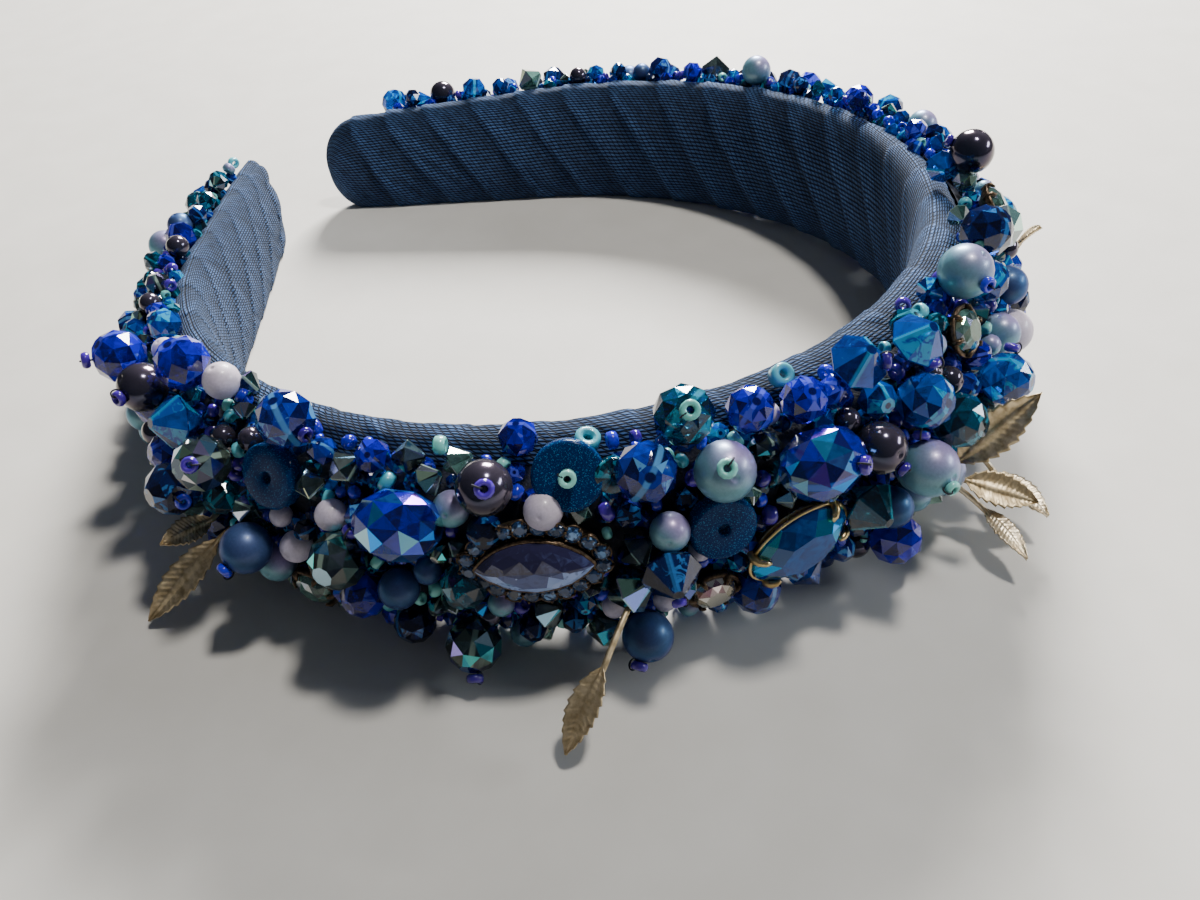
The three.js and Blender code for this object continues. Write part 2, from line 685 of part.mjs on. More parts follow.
function addLeaves() {
  for (const { name, along, across, root, tip, width } of leafTable) {
    const place = bedSurface(along, THREE.MathUtils.degToRad(across), gap);
    const { out, run } = planAt(along);
    const reach = ([outwards, sideways, upwards]) => place.position.clone()
      .addScaledVector(out, outwards).addScaledVector(run, sideways).add(new THREE.Vector3(0, 0, upwards));
    addMesh(name, leafGeometry(place.position, reach(root), reach(tip), width), 'leaf');
    for (const share of [0, 0.35, 0.7]) {
      keepOff(place.position.clone().lerp(reach(root), share), leafWireRadius + 0.3);
    }
  }
}

// Beads of one half's bed, in rows across the band, clear of the stones and of the surface below.
function bedBeads(side, random) {
  const beads = [];
  let along = crownBeadSpacing / 2;
  const end = halfLength - tipRounding - bedTipClearance;
  for (let column = 0; along < end; column++) {
    const share = along / halfLength;
    const spacing = THREE.MathUtils.lerp(crownBeadSpacing, tipBeadSpacing, share);
    const typical = THREE.MathUtils.lerp(crownBeadRadius, tipBeadRadius, share);
    const arc = 2 * bedReach * Math.sqrt(halfHeightAt(along) * (depthAt(along) + 2));
    const rows = Math.max(2, Math.round(arc / spacing));
    for (let row = 0; row < rows; row++) {
      const stagger = column % 2 ? 0.5 : 0;
      const spot = (row + 0.5 + stagger * 0.8 - 0.2 + beadJitter * (random() - 0.5)) / rows;
      const across = THREE.MathUtils.lerp(-lowerReachAt(along), bedReach, spot);
      const shift = along + beadJitter * spacing * (random() - 0.5);
      const radius = typical * (1 + beadSizeSpread * (2 * random() - 1));
      const cut = random() < cutShare;
      if (spot > 0.97 || spot < 0.03 || shift > end - radius) continue;
      const sink = Math.min(beadSink * radius, bedDepthAt(shift, across) * deepestSink);
      const place = bedSurface(side * shift, across, radius - sink);
      beads.push({ ...place, radius, cut });
    }
    along += spacing * 0.87;
  }
  return beads.filter(({ position, radius }) => {
    const low = position.z - radius < restHeight(position.y);
    const seam = side * position.x < radius + gap / 2;
    const close = keepClear.some((stone) =>
      stone.position.distanceTo(position) < stone.radius + radius + gap);
    return !low && !seam && !close;
  });
}

// Small beads that carry the stones standing off the bed.
function seatBeads(side) {
  const seats = [];
  for (const { along, across, stand } of stoneTable) {
    if (Math.sign(along) !== side || stand <= seatFromStand) continue;
    const angle = THREE.MathUtils.degToRad(across);
    const radius = Math.min(seatRadius, (stand + deepestSink * bedDepthAt(along, angle)) / 2);
    seats.push({ ...bedSurface(along, angle, stand - radius), radius, cut: false });
  }
  return seats;
}

function addBeadField(name, side) {
  const random = randomSource(beadSeed + side);
  let solid = toSolid(bedGeometry(side));
  for (const { position, normal, radius, cut } of [...bedBeads(side, random), ...seatBeads(side)]) {
    const shape = cut ? fieldBead(radius) : roundBead(radius, bedBeadSides, 4);
    const turn = new THREE.Matrix4().makeRotationFromQuaternion(standOn(normal));
    shape.applyMatrix4(turn.setPosition(position));
    solid = solid.add(toSolid(shape));
  }
  addMesh(name, fromSolid(solid), 'bed');
}

addMesh('padded_band', bandGeometry(), 'ribbon');
addStones();
addMarquise();
addClawOval();
addCups();
addLeaves();
addBeadField('bead_field_left', -1);
addBeadField('bead_field_right', 1);

// The origin is the middle of the whole headband's box, on the surface that it lies on.
headband.updateMatrixWorld(true);
const box = new THREE.Box3().setFromObject(headband, true);
const middle = box.getCenter(new THREE.Vector3());
lying.position.set(-middle.x, -middle.y, -box.min.z);

export default headband;
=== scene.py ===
"""Looks of the crystal headband: wound ribbon, stitched bed, beads, crystals, settings and leaves."""
import math
import random

import bmesh
import bpy
import numpy as np
from mathutils import Matrix, Vector
from mathutils.bvhtree import BVHTree


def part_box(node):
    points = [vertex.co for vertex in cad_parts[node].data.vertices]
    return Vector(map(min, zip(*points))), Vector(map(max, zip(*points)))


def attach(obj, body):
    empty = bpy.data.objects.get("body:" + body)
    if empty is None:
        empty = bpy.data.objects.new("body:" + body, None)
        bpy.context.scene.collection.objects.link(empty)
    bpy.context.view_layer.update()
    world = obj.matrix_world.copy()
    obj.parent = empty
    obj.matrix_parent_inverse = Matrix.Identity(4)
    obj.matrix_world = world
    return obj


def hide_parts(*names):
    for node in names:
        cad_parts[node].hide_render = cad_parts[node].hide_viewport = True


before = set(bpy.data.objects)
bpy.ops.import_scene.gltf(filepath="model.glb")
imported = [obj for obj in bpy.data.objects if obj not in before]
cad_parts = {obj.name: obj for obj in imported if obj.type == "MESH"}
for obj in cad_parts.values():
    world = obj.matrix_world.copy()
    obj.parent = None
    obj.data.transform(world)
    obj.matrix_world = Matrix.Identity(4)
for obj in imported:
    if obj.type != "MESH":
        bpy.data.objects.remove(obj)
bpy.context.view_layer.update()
MM = 0.001
Y_AXIS = Vector((0, 1, 0))
Z_AXIS = Vector((0, 0, 1))

# Plan and section of the padded band, as the frame has them.
CROWN_RADIUS = 55 * MM
CROWN_ARC = 82 * MM
SIDE_RADIUS = 60 * MM
SIDE_ARC = 51 * MM
LEG = 47 * MM
HALF_LENGTH = CROWN_ARC + SIDE_ARC + LEG
CROWN_HALF_HEIGHT = 13.2 * MM
CROWN_DEPTH = 9 * MM
INNER_CROWNING = 3 * MM
TAPER_ALONG = (0, 0.5, 0.75, 0.9, 1)
TAPER_HEIGHT = (1, 0.955, 0.87, 0.79, 0.71)
TAPER_DEPTH = (1, 0.93, 0.8, 0.68, 0.58)
RIBBON_STEP = 0.5 * MM
GAP = 0.3 * MM
BED_SAG = 0.35 * MM
BED_CROWN_DEPTH = 3.4 * MM
BED_TIP_DEPTH = 2.2 * MM
BED_EDGE_SHARE = 0.6
BED_REACH = math.radians(84)
BED_END = HALF_LENGTH - 12 * MM
CROWN_REACH = 18 * MM
TIP_REACH = CROWN_HALF_HEIGHT * TAPER_HEIGHT[-1] - 0.7 * MM

# Camera of the photo, measured from the band: height over its middle plane, turn, pitch and roll.
CAMERA_HEIGHT = 89.2 * MM
CROWN_RIGHT = 35.2 * MM
CROWN_AHEAD = 122.3 * MM
CAMERA_TURN = math.radians(42.7)
CAMERA_PITCH = math.radians(37.56)
CAMERA_ROLL = math.radians(-7.19)
FOCAL_PX = 1100
FRAME_W = 1200
FRAME_H = 900
SENSOR_WIDTH = 36


def plan_at(along):
    """Point, outward and running direction of the inner face, at a signed length from the crown."""
    side = -1 if along < 0 else 1
    left = abs(along)
    heading = 0.0
    x = y = 0.0
    for length, radius in ((CROWN_ARC, CROWN_RADIUS), (SIDE_ARC, SIDE_RADIUS)):
        run = min(left, length)
        after = heading + run / radius
        x += radius * (math.sin(after) - math.sin(heading))
        y += radius * (math.cos(heading) - math.cos(after))
        heading = after
        left -= run
    x += left * math.cos(heading)
    y += left * math.sin(heading)
    out = Vector((side * math.sin(heading), -math.cos(heading), 0))
    run = Vector((math.cos(heading), side * math.sin(heading), 0))
    return Vector((side * x, y, 0)), out, run


PLAN_DEPTH = plan_at(HALF_LENGTH)[0].y
REST_TILT = math.atan2(CROWN_REACH - TIP_REACH, PLAN_DEPTH)
LYING = Matrix.Rotation(-REST_TILT, 3, "X")


def half_height_at(along):
    return CROWN_HALF_HEIGHT * float(np.interp(abs(along) / HALF_LENGTH, TAPER_ALONG, TAPER_HEIGHT))


def depth_at(along):
    return CROWN_DEPTH * float(np.interp(abs(along) / HALF_LENGTH, TAPER_ALONG, TAPER_DEPTH))


def outer_place(along, across, lift):
    """Point and outward normal on the padding's outer side, in the band's own frame."""
    point, out, run = plan_at(along)
    height = half_height_at(along)
    rise = depth_at(along) - INNER_CROWNING
    normal = Vector((math.cos(across) * height, math.sin(across) * rise)).normalized()
    reach = INNER_CROWNING + rise * math.cos(across) + lift * normal.x
    place = point + out * reach
    place.z = height * math.sin(across) + lift * normal.y
    facing = out * normal.x
    facing.z = normal.y
    return place, facing, run


def bed_depth_at(along, across):
    share = min(abs(along) / HALF_LENGTH, 1)
    middle = BED_CROWN_DEPTH + (BED_TIP_DEPTH - BED_CROWN_DEPTH) * share
    return middle * (1 + (BED_EDGE_SHARE - 1) * abs(across) / BED_REACH)


def bed_place(along, across, lift):
    depth = RIBBON_STEP + GAP + BED_SAG + bed_depth_at(along, across)
    return outer_place(along, across, depth + lift)


def rest_height(y):
    return -CROWN_REACH + (CROWN_REACH - TIP_REACH) * y / PLAN_DEPTH


def lower_reach_at(along):
    room = -rest_height(plan_at(along)[0].y) - RIBBON_STEP - GAP - BED_SAG - BED_TIP_DEPTH
    return math.asin(min(room / half_height_at(along), math.sin(BED_REACH)))


# The frame's own place: one round pearl fixes where the band's frame lies in the part's.
PEARL_RADIUS = 3.6 * MM
low, high = (Vector(corner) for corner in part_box("mist_pearl_front"))
PEARL_PLACE = bed_place(-28.5 * MM, math.radians(40), GAP + PEARL_RADIUS)[0]
ANCHOR = (low + high) / 2 - LYING @ PEARL_PLACE


def to_part(point):
    return LYING @ point + ANCHOR


def to_band(point):
    return LYING.transposed() @ (point - ANCHOR)


def camera_axes():
    """Right, up and forward directions and the place of the camera, in the part's frame."""
    forward = Vector((0, math.cos(CAMERA_PITCH), -math.sin(CAMERA_PITCH)))
    right = Vector((1, 0, 0))
    up = right.cross(forward)
    turned_right = right * math.cos(CAMERA_ROLL) + up * math.sin(CAMERA_ROLL)
    turned_up = up * math.cos(CAMERA_ROLL) - right * math.sin(CAMERA_ROLL)
    ground_turn = Matrix.Rotation(-CAMERA_TURN, 3, "Z")
    place = ground_turn @ Vector((-CROWN_RIGHT, -CROWN_AHEAD, CAMERA_HEIGHT))
    axes = [LYING @ ground_turn @ axis for axis in (turned_right, turned_up, forward)]
    return *axes, to_part(place)


VIEW_RIGHT, VIEW_UP, VIEW_FORWARD, VIEW_PLACE = camera_axes()


def add_camera():
    data = bpy.data.cameras.new("photo_camera")
    data.sensor_width = SENSOR_WIDTH
    data.lens = SENSOR_WIDTH * FOCAL_PX / FRAME_W
    data.clip_start = 0.005
    camera = bpy.data.objects.new("photo_camera", data)
    turn = Matrix((VIEW_RIGHT, VIEW_UP, -VIEW_FORWARD)).transposed()
    camera.matrix_world = Matrix.Translation(VIEW_PLACE) @ turn.to_4x4()
    bpy.context.scene.collection.objects.link(camera)
    bpy.context.scene.camera = camera


def pixel_ray(x, y):
    return (VIEW_FORWARD + VIEW_RIGHT * ((x - FRAME_W / 2) / FOCAL_PX)
            - VIEW_UP * ((y - FRAME_H / 2) / FOCAL_PX))


# Materials

class Finish:
    """A material with its principled shader and short ways to add nodes to its tree."""

    def __init__(self, name):
        self.material = bpy.data.materials.new(name)
        self.material.use_nodes = True
        self.tree = self.material.node_tree
        self.shader = self.tree.nodes["Principled BSDF"]

    def fill(self, node, sockets):
        """A value or a link on each of a node's sockets."""
        for socket, source in sockets.items():
            if hasattr(source, "is_output"):
                self.tree.links.new(source, node.inputs[socket])
            else:
                node.inputs[socket].default_value = source

    def add(self, kind, sockets, **settings):
        node = self.tree.nodes.new("ShaderNode" + kind)
        for key, value in settings.items():
            setattr(node, key, value)
        self.fill(node, sockets)
        return node

    def maths(self, operation, *terms):
        return self.add("Math", dict(enumerate(terms)), operation=operation).outputs[0]

    def vector_maths(self, operation, output, *terms):
        return self.add("VectorMath", dict(enumerate(terms)), operation=operation).outputs[output]

    def remap(self, value, start, end, low=0.0, high=1.0, steps="LINEAR"):
        sockets = {"Value": value, "From Min": start, "From Max": end, "To Min": low, "To Max": high}
        return self.add("MapRange", sockets, interpolation_type=steps).outputs[0]

    def place(self):
        return self.add("TexCoord", {}).outputs["Object"]

    def noise(self, scale, detail, distortion=0.0):
        sockets = {"Vector": self.place(), "Scale": scale, "Detail": detail, "Distortion": distortion}
        return self.add("TexNoise", sockets).outputs["Fac"]

    def attribute(self, name, output="Fac"):
        return self.add("Attribute", {}, attribute_name=name).outputs[output]

    def mixed(self, factor, first, second, blend="MIX"):
        sockets = {"Factor": factor, "A": first, "B": second}
        return self.add("Mix", sockets, data_type="RGBA", blend_type=blend).outputs["Result"]

    def ramp(self, factor, stops):
        node = self.add("ValToRGB", {"Fac": factor})
        elements = node.color_ramp.elements
        while len(elements) < len(stops):
            elements.new(0.5)
        for element, (place, color) in zip(elements, stops):
            element.position = place
            element.color = (*color, 1)
        return node.outputs["Color"]

    def dress(self, color, rough, **weights):
        """The shader's own colour and roughness, then its other weights, named with _ for a space."""
        named = {key.replace("_", " "): value for key, value in weights.items()}
        self.fill(self.shader, {"Base Color": color, "Roughness": rough, **named})

    def bump(self, height, distance, strength=1.0):
        normal = self.add("Bump", {"Height": height, "Distance": distance, "Strength": strength})
        self.fill(self.shader, {"Normal": normal.outputs["Normal"]})


# Patterns in the materials: repeats in one metre, and how much detail and distortion each noise has.
GLINT_STREAKS = (650.0, 3.0, 1.5)
PEARL_CLOUDS = (260.0, 1.0)
PEARL_GRAIN = (3200.0, 3.0)
RIBBON_STRAY = (220.0, 2.0)
RIBBON_HEATHER = (900.0, 4.0)
RIBBON_PATCHES = (70.0, 2.0)
GROUND_THREADS = (1400.0, 5.0, 2.0)
FLOOR_GRAIN = (90.0, 4.0)
GLITTER_FLECKS = 12000.0
METAL_DETAIL = 5.0

# Shares of a bead's own radius between which the painted glint along the thread's line and the painted shade
# in the hole fade in.
HOLE_GLINT_FADE = (0.13, 0.07)
HOLE_SHADE_FADE = (0.2, 0.14)
HOLE_GLINT_SHOW = 0.75
GLASS_ROUGHNESS = 0.02
GLASS_IOR = 1.5
FILM_IOR = 1.9
HUE_SPREAD = 7.31
COAT_FADE = 0.08


def cut_glass(name, deep, body, flash, clear=0.5, film=0.0):
    """Faceted glass with painted light: most facets are painted in the dark of the stone, some in its colour,
    a few as a bright painted glint.
    """
    finish = Finish(name)
    glint_streaks = finish.remap(finish.noise(*GLINT_STREAKS), 0.35, 0.7, -0.14, 0.16)
    tone = finish.remap(finish.attribute("tone"), 0.0, 1.0, -0.1, 0.1)
    light = finish.maths("ADD", finish.maths("ADD", finish.attribute("facet"), glint_streaks), tone)
    half = tuple(0.5 * (a + b) for a, b in zip(deep, body))
    # Painted light: each facet's share picks painted shade (deep), the stone's colour (body) or a painted
    # glint (flash).
    shown = finish.ramp(light, [(0.15, deep), (0.45, half), (0.72, body), (0.86, body), (0.94, flash)])
    # A painted glint in the flash colour runs along the thread's line, and painted shade in the deep colour
    # sits at the hole's ends.
    spot = finish.attribute("local", "Vector")
    sideways = finish.maths("ABSOLUTE", finish.add("SeparateXYZ", {"Vector": spot}).outputs["X"])
    line = finish.maths("MULTIPLY", finish.remap(sideways, *HOLE_GLINT_FADE), HOLE_GLINT_SHOW)
    with_hole_glint = finish.mixed(line, shown, (*flash, 1))
    level = finish.vector_maths("MULTIPLY", "Vector", spot, (1, 1, 0))
    away = finish.vector_maths("LENGTH", "Value", level)
    with_hole_shade = finish.mixed(finish.remap(away, *HOLE_SHADE_FADE), with_hole_glint, (*deep, 1))
    finish.dress(with_hole_shade, GLASS_ROUGHNESS, IOR=GLASS_IOR, Transmission_Weight=clear, Coat_Weight=0.1,
                 Coat_Roughness=GLASS_ROUGHNESS, Thin_Film_Thickness=film, Thin_Film_IOR=FILM_IOR)
    return finish


def coated_glass(name, deep, body, flash, coat_stops, share=0.4, clear=0.45, film=0.0):
    """Faceted glass with a metal-bright iridescent coat that shows on some facets and not on others."""
    finish = cut_glass(name, deep, body, flash, clear, film)
    facet = finish.attribute("facet")
    hue = finish.maths("FRACT", finish.maths("MULTIPLY", facet, HUE_SPREAD))
    coat_sockets = {"Base Color": finish.ramp(hue, coat_stops), "Metallic": 1.0, "Roughness": 0.1}
    coat = finish.add("BsdfPrincipled", coat_sockets).outputs[0]
    # The coat shows on the facets with the highest share of painted light.
    level = finish.remap(facet, 1 - share, 1 - share + COAT_FADE, 0.06, 0.85)
    mix = finish.add("MixShader", {0: level, 1: finish.shader.outputs[0], 2: coat})
    output = next(node for node in finish.tree.nodes if node.type == "OUTPUT_MATERIAL")
    finish.fill(output, {"Surface": mix.outputs[0]})
    return finish


# Direction of the painted light on the pearls: their side facing it gets the lighter tint.
PEARL_LIT_SIDE = (0.45, -0.35, 0.8)


def pearl_finish(name, low, high, rough, metallic, film, coat):
    """A lacquered pearl with painted light and sheen: a darker tint on its lower left, a lighter one on its
    upper right where the light falls, and a fine grain.
    """
    finish = Finish(name)
    # Painted light and sheen: the side facing the lit direction gets the lighter tint, the other side the
    # darker one.
    facing = finish.add("NewGeometry", {}).outputs["Normal"]
    turned = finish.vector_maths("DOT_PRODUCT", "Value", facing, PEARL_LIT_SIDE)
    drift = finish.remap(finish.noise(*PEARL_CLOUDS), 0.0, 1.0, -0.35, 0.35)
    share = finish.remap(finish.maths("ADD", turned, drift), 0.1, 0.95)
    grain = finish.noise(*PEARL_GRAIN)
    speckle = finish.remap(grain, 0.3, 0.7, 0.9, 1.06)
    tint = finish.mixed(1.0, finish.ramp(share, [(0.0, low), (1.0, high)]), speckle, "MULTIPLY")
    finish.dress(tint, rough, Metallic=metallic, Coat_Weight=coat, Coat_Roughness=0.12,
                 Thin_Film_Thickness=film)
    finish.bump(grain, 0.00001, 0.15)
    return finish


def seed_glass(name, color, deep, rough=0.12, clear=0.15):
    """Small moulded glass beads: glossy, each one a shade off its neighbours."""
    finish = Finish(name)
    shades = finish.ramp(finish.attribute("tone"), [(0.0, deep), (1.0, color)])
    finish.dress(shades, rough, Transmission_Weight=clear, Coat_Weight=0.4)
    return finish


# Ribbon colours: painted shade in the grooves between cords, the ribbon's own blue, painted highlight on the
# cord crests.
DENIM_GROOVE_SHADE = (0.002, 0.004, 0.012)
DENIM = (0.012, 0.029, 0.075)
DENIM_CREST_HIGHLIGHT = (0.062, 0.135, 0.31)
ROWS_PER_METRE = 1750.0
TWISTS_PER_METRE = 1050.0
TWIST_SHIFT = 0.37
TWIST_LEAN = 0.8
ROW_SWAY = 0.00035


def ribbon_finish():
    """Denim-blue ribbed ribbon: rows of twisted cords with painted shade between them and painted highlights
    on their crests, painted shade in the hollows between turns, heather flecks and a soft nap.
    """
    finish = Finish("ribbon_weave")
    maths = finish.maths

    def cords(turns, fade_end):
        """Share of the way from the middle of each turn, and how high the cord stands there."""
        swing = maths("SUBTRACT", maths("FRACT", turns), 0.5)
        return swing, finish.remap(maths("ABSOLUTE", swing), 0.5, fade_end, steps="SMOOTHSTEP")

    uv = finish.add("UVMap", {}, uv_map="ribbon").outputs["UV"]
    split = finish.add("SeparateXYZ", {"Vector": uv}).outputs
    sway = maths("MULTIPLY", finish.noise(*RIBBON_STRAY), ROW_SWAY)
    rows = maths("MULTIPLY", maths("ADD", split["Y"], sway), ROWS_PER_METRE)
    swing, cord = cords(rows, 0.12)
    shift = maths("MULTIPLY", maths("FLOOR", rows), TWIST_SHIFT)
    lean = maths("MULTIPLY", swing, TWIST_LEAN)
    turns = maths("ADD", maths("MULTIPLY", split["X"], TWISTS_PER_METRE), shift)
    dash = cords(maths("ADD", turns, lean), 0.28)[1]
    level = maths("MULTIPLY", cord, dash)
    # Painted shade in the grooves between cords and painted highlight on their crests, by how high the cord
    # stands.
    threads = finish.ramp(level, [(0.0, DENIM_GROOVE_SHADE), (0.4, DENIM), (0.95, DENIM_CREST_HIGHLIGHT)])
    speck = finish.remap(finish.noise(*RIBBON_HEATHER), 0.3, 0.7, 0.7, 1.3)
    patch = finish.remap(finish.noise(*RIBBON_PATCHES), 0.0, 1.0, 0.75, 1.25)
    # Painted shade in the hollows between the wound turns, by how high the ribbon stands there.
    hollow_shade = finish.remap(finish.attribute("height"), 0.1, 1.0, 0.3, 1.15)
    shade = maths("MULTIPLY", speck, maths("MULTIPLY", patch, hollow_shade))
    cloth = finish.mixed(1.0, threads, shade, "MULTIPLY")
    finish.dress(cloth, 0.8, Specular_IOR_Level=0.2, Sheen_Weight=0.05, Sheen_Roughness=0.45,
                 Sheen_Tint=(0.6, 0.75, 1.0, 1))
    finish.bump(level, 0.0003)
    return finish


def glitter_finish():
    """Dark lacquered disc with fine blue-green glitter set in it."""
    finish = Finish("glitter_disc")
    fleck = finish.add("TexVoronoi", {"Vector": finish.place(), "Scale": GLITTER_FLECKS}).outputs["Color"]
    lit = finish.remap(finish.add("SeparateColor", {"Color": fleck}).outputs["Red"], 0.8, 1.0)
    stops = [(0.0, (0.001, 0.02, 0.09)), (0.5, (0.002, 0.05, 0.18)), (1.0, (0.02, 0.22, 0.48))]
    finish.dress(finish.ramp(lit, stops), 0.25, Specular_IOR_Level=0.06, Coat_Weight=0.06, Coat_Roughness=0.1)
    return finish


def ground_finish():
    """Dark stitched ground between the beads: black-navy thread crossing every way."""
    finish = Finish("stitched_ground")
    threads = finish.noise(*GROUND_THREADS)
    stops = [(0.3, (0.002, 0.003, 0.008)), (0.62, (0.007, 0.011, 0.028)), (0.8, (0.025, 0.038, 0.08))]
    finish.dress(finish.ramp(threads, stops), 0.8)
    finish.bump(threads, 0.0003, 0.8)
    return finish


def metal_finish(name, color, dark, rough, grain_scale=500.0, metallic=1.0):
    """Worn antique metal, darker in random patches; without its metal share it is dull thread."""
    finish = Finish(name)
    patina = finish.noise(grain_scale, METAL_DETAIL)
    spread = finish.remap(patina, 0.0, 1.0, rough + 0.15, rough - 0.08)
    finish.dress(finish.ramp(patina, [(0.3, dark), (0.65, color)]), spread, Metallic=metallic)
    finish.bump(patina, 0.00005, 0.4)
    return finish


def floor_finish():
    finish = Finish("pale_floor")
    stops = [(0.3, (0.56, 0.54, 0.5)), (0.7, (0.6, 0.58, 0.54))]
    finish.dress(finish.ramp(finish.noise(*FLOOR_GRAIN), stops), 0.65)
    return finish


SMOKE_STOPS = [
    (0.0, (0.03, 0.32, 0.5)), (0.25, (0.08, 0.6, 0.58)), (0.45, (0.6, 0.66, 0.32)), (0.62, (0.3, 0.2, 0.62)),
    (0.82, (0.06, 0.4, 0.8)), (1.0, (0.6, 0.8, 0.85))]
SKY_STOPS = [
    (0.0, (0.02, 0.2, 0.75)), (0.3, (0.02, 0.5, 0.8)), (0.5, (0.5, 0.85, 0.6)), (0.7, (0.1, 0.2, 0.85)),
    (1.0, (0.3, 0.08, 0.6))]
MINT_STOPS = [
    (0.0, (0.5, 0.85, 0.75)), (0.4, (0.75, 0.8, 0.45)), (0.7, (0.55, 0.55, 0.85)), (1.0, (0.8, 0.92, 0.95))]
SEA_STOPS = [
    (0.0, (0.01, 0.2, 0.75)), (0.5, (0.02, 0.5, 0.8)), (0.8, (0.06, 0.65, 0.65)), (1.0, (0.3, 0.85, 0.8))]
SILVER_STOPS = [(0.0, (0.9, 0.9, 0.85)), (0.5, (0.5, 0.48, 0.42)), (1.0, (1.0, 0.98, 0.92))]

# Each kind's finishes: key, then what its function takes in order.
FINISH_ROWS = {
    # Cut glass: deep is painted shade inside the stone and in its hole, body its own colour, flash the
    # painted glint.
    cut_glass: [
        ("cobalt", "cobalt_glass", (0.003, 0.001, 0.1), (0.01, 0.005, 0.68), (0.12, 0.16, 1.0)),
        ("sapphire", "sapphire_glass", (0.001, 0.004, 0.08), (0.006, 0.04, 0.5), (0.15, 0.5, 1.0)),
        ("azure", "azure_glass", (0.001, 0.014, 0.13), (0.002, 0.12, 0.62), (0.03, 0.6, 1.0)),
        ("teal", "teal_glass", (0.001, 0.016, 0.035), (0.004, 0.11, 0.2), (0.06, 0.55, 0.75), 0.6),
        ("navy", "navy_glass", (0.001, 0.002, 0.02), (0.004, 0.015, 0.12), (0.04, 0.25, 0.7)),
        ("violet_stone", "violet_stone_glass", (0.022, 0.02, 0.065), (0.1, 0.13, 0.33), (0.4, 0.54, 0.95),
         0.2),
        ("steel_stone", "steel_stone_glass", (0.008, 0.025, 0.07), (0.04, 0.1, 0.26), (0.25, 0.5, 0.9), 0.4),
    ],
    # Coated glass: the same painted shade, colour and painted glint, then the coat's colours.
    coated_glass: [
        ("silver_stone", "silver_stone_glass", (0.05, 0.05, 0.045), (0.35, 0.34, 0.3), (0.95, 0.95, 0.9),
         SILVER_STOPS, 0.5, 0.45, 420.0),
        ("smoke", "smoke_glass_coated", (0.006, 0.008, 0.01), (0.05, 0.075, 0.075), (0.4, 0.55, 0.45),
         SMOKE_STOPS, 0.38),
        ("sky", "sky_glass_coated", (0.002, 0.001, 0.08), (0.006, 0.008, 0.5), (0.03, 0.2, 0.95),
         SKY_STOPS, 0.3),
        ("sea_stone", "sea_stone_coated", (0.001, 0.03, 0.2), (0.003, 0.14, 0.55), (0.03, 0.6, 0.9),
         SEA_STOPS, 0.55, 0.2),
        ("mint", "mint_glass_coated", (0.02, 0.06, 0.055), (0.18, 0.4, 0.34), (0.7, 0.95, 0.85), MINT_STOPS),
    ],
    # Pearls: painted shade tint, painted light tint, roughness, metal share, film and coat.
    pearl_finish: [
        ("mist_pearl", "mist_pearl", (0.13, 0.28, 0.36), (0.33, 0.27, 0.5), 0.38, 0.3, 480.0, 0.2),
        ("graphite_pearl", "graphite_pearl", (0.02, 0.022, 0.04), (0.085, 0.07, 0.1), 0.15, 0.65, 350.0, 0.6),
        ("night_pearl", "night_pearl", (0.03, 0.05, 0.16), (0.07, 0.12, 0.3), 0.42, 0.35, 450.0, 0.1),
        ("blush_pearl", "blush_pearl", (0.47, 0.43, 0.55), (0.66, 0.57, 0.66), 0.4, 0.0, 0.0, 0.2),
    ],
    seed_glass: [
        ("violet_seed", "violet_seed_glass", (0.09, 0.03, 0.5), (0.03, 0.01, 0.22)),
        ("cobalt_seed", "cobalt_seed_glass", (0.03, 0.04, 0.75), (0.01, 0.01, 0.35)),
        ("mint_seed", "mint_seed_glass", (0.28, 0.75, 0.66), (0.14, 0.5, 0.45), 0.25, 0.0),
        ("turquoise", "turquoise_glass", (0.13, 0.55, 0.65), (0.06, 0.35, 0.45), 0.3, 0.0),
    ],
    metal_finish: [
        ("thread", "black_thread", (0.012, 0.014, 0.03), (0.004, 0.004, 0.01), 0.7, 500.0, 0.0),
        ("gold", "claw_gold", (0.75, 0.58, 0.3), (0.4, 0.27, 0.1), 0.25),
        ("bronze", "setting_bronze", (0.16, 0.11, 0.07), (0.03, 0.02, 0.014), 0.35, 2500.0),
        ("leaf", "leaf_metal", (0.74, 0.6, 0.38), (0.36, 0.27, 0.15), 0.45, 900.0),
        ("pale_leaf", "pale_leaf_metal", (0.85, 0.74, 0.55), (0.48, 0.38, 0.24), 0.36, 900.0),
    ],
    glitter_finish: [("glitter",)],
    ribbon_finish: [("ribbon",)],
    ground_finish: [("ground",)],
    floor_finish: [("floor",)],
}
FINISHES = {key: make(*values).material for make, rows in FINISH_ROWS.items() for key, *values in rows}


# Mesh helpers

def keep_on_points(mesh, name, kind, field, values):
    layer = mesh.attributes.new(name, kind, "POINT")
    layer.data.foreach_set(field, values)


def keep_vectors(mesh, name, vectors):
    keep_on_points(mesh, name, "FLOAT_VECTOR", "vector", [part for vector in vectors for part in vector])


def keep_local(mesh):
    """Each point's own place in its bead, kept for the painted shade in the hole and the painted glint along
    the thread's line in the glass.
    """
    keep_vectors(mesh, "local", [spot.co for spot in mesh.vertices])


def face_outward(mesh):
    work = bmesh.new()
    work.from_mesh(mesh)
    bmesh.ops.recalc_face_normals(work, faces=work.faces)
    work.to_mesh(mesh)
    work.free()


def new_mesh(name, vertices, faces, smooth):
    mesh = bpy.data.meshes.new(name)
    mesh.from_pydata([tuple(v) for v in vertices], [], faces)
    mesh.polygons.foreach_set("use_smooth", [smooth] * len(mesh.polygons))
    return mesh


def show(name, data):
    """The mesh or lamp as an object in the scene."""
    piece = bpy.data.objects.new(name, data)
    bpy.context.scene.collection.objects.link(piece)
    return piece


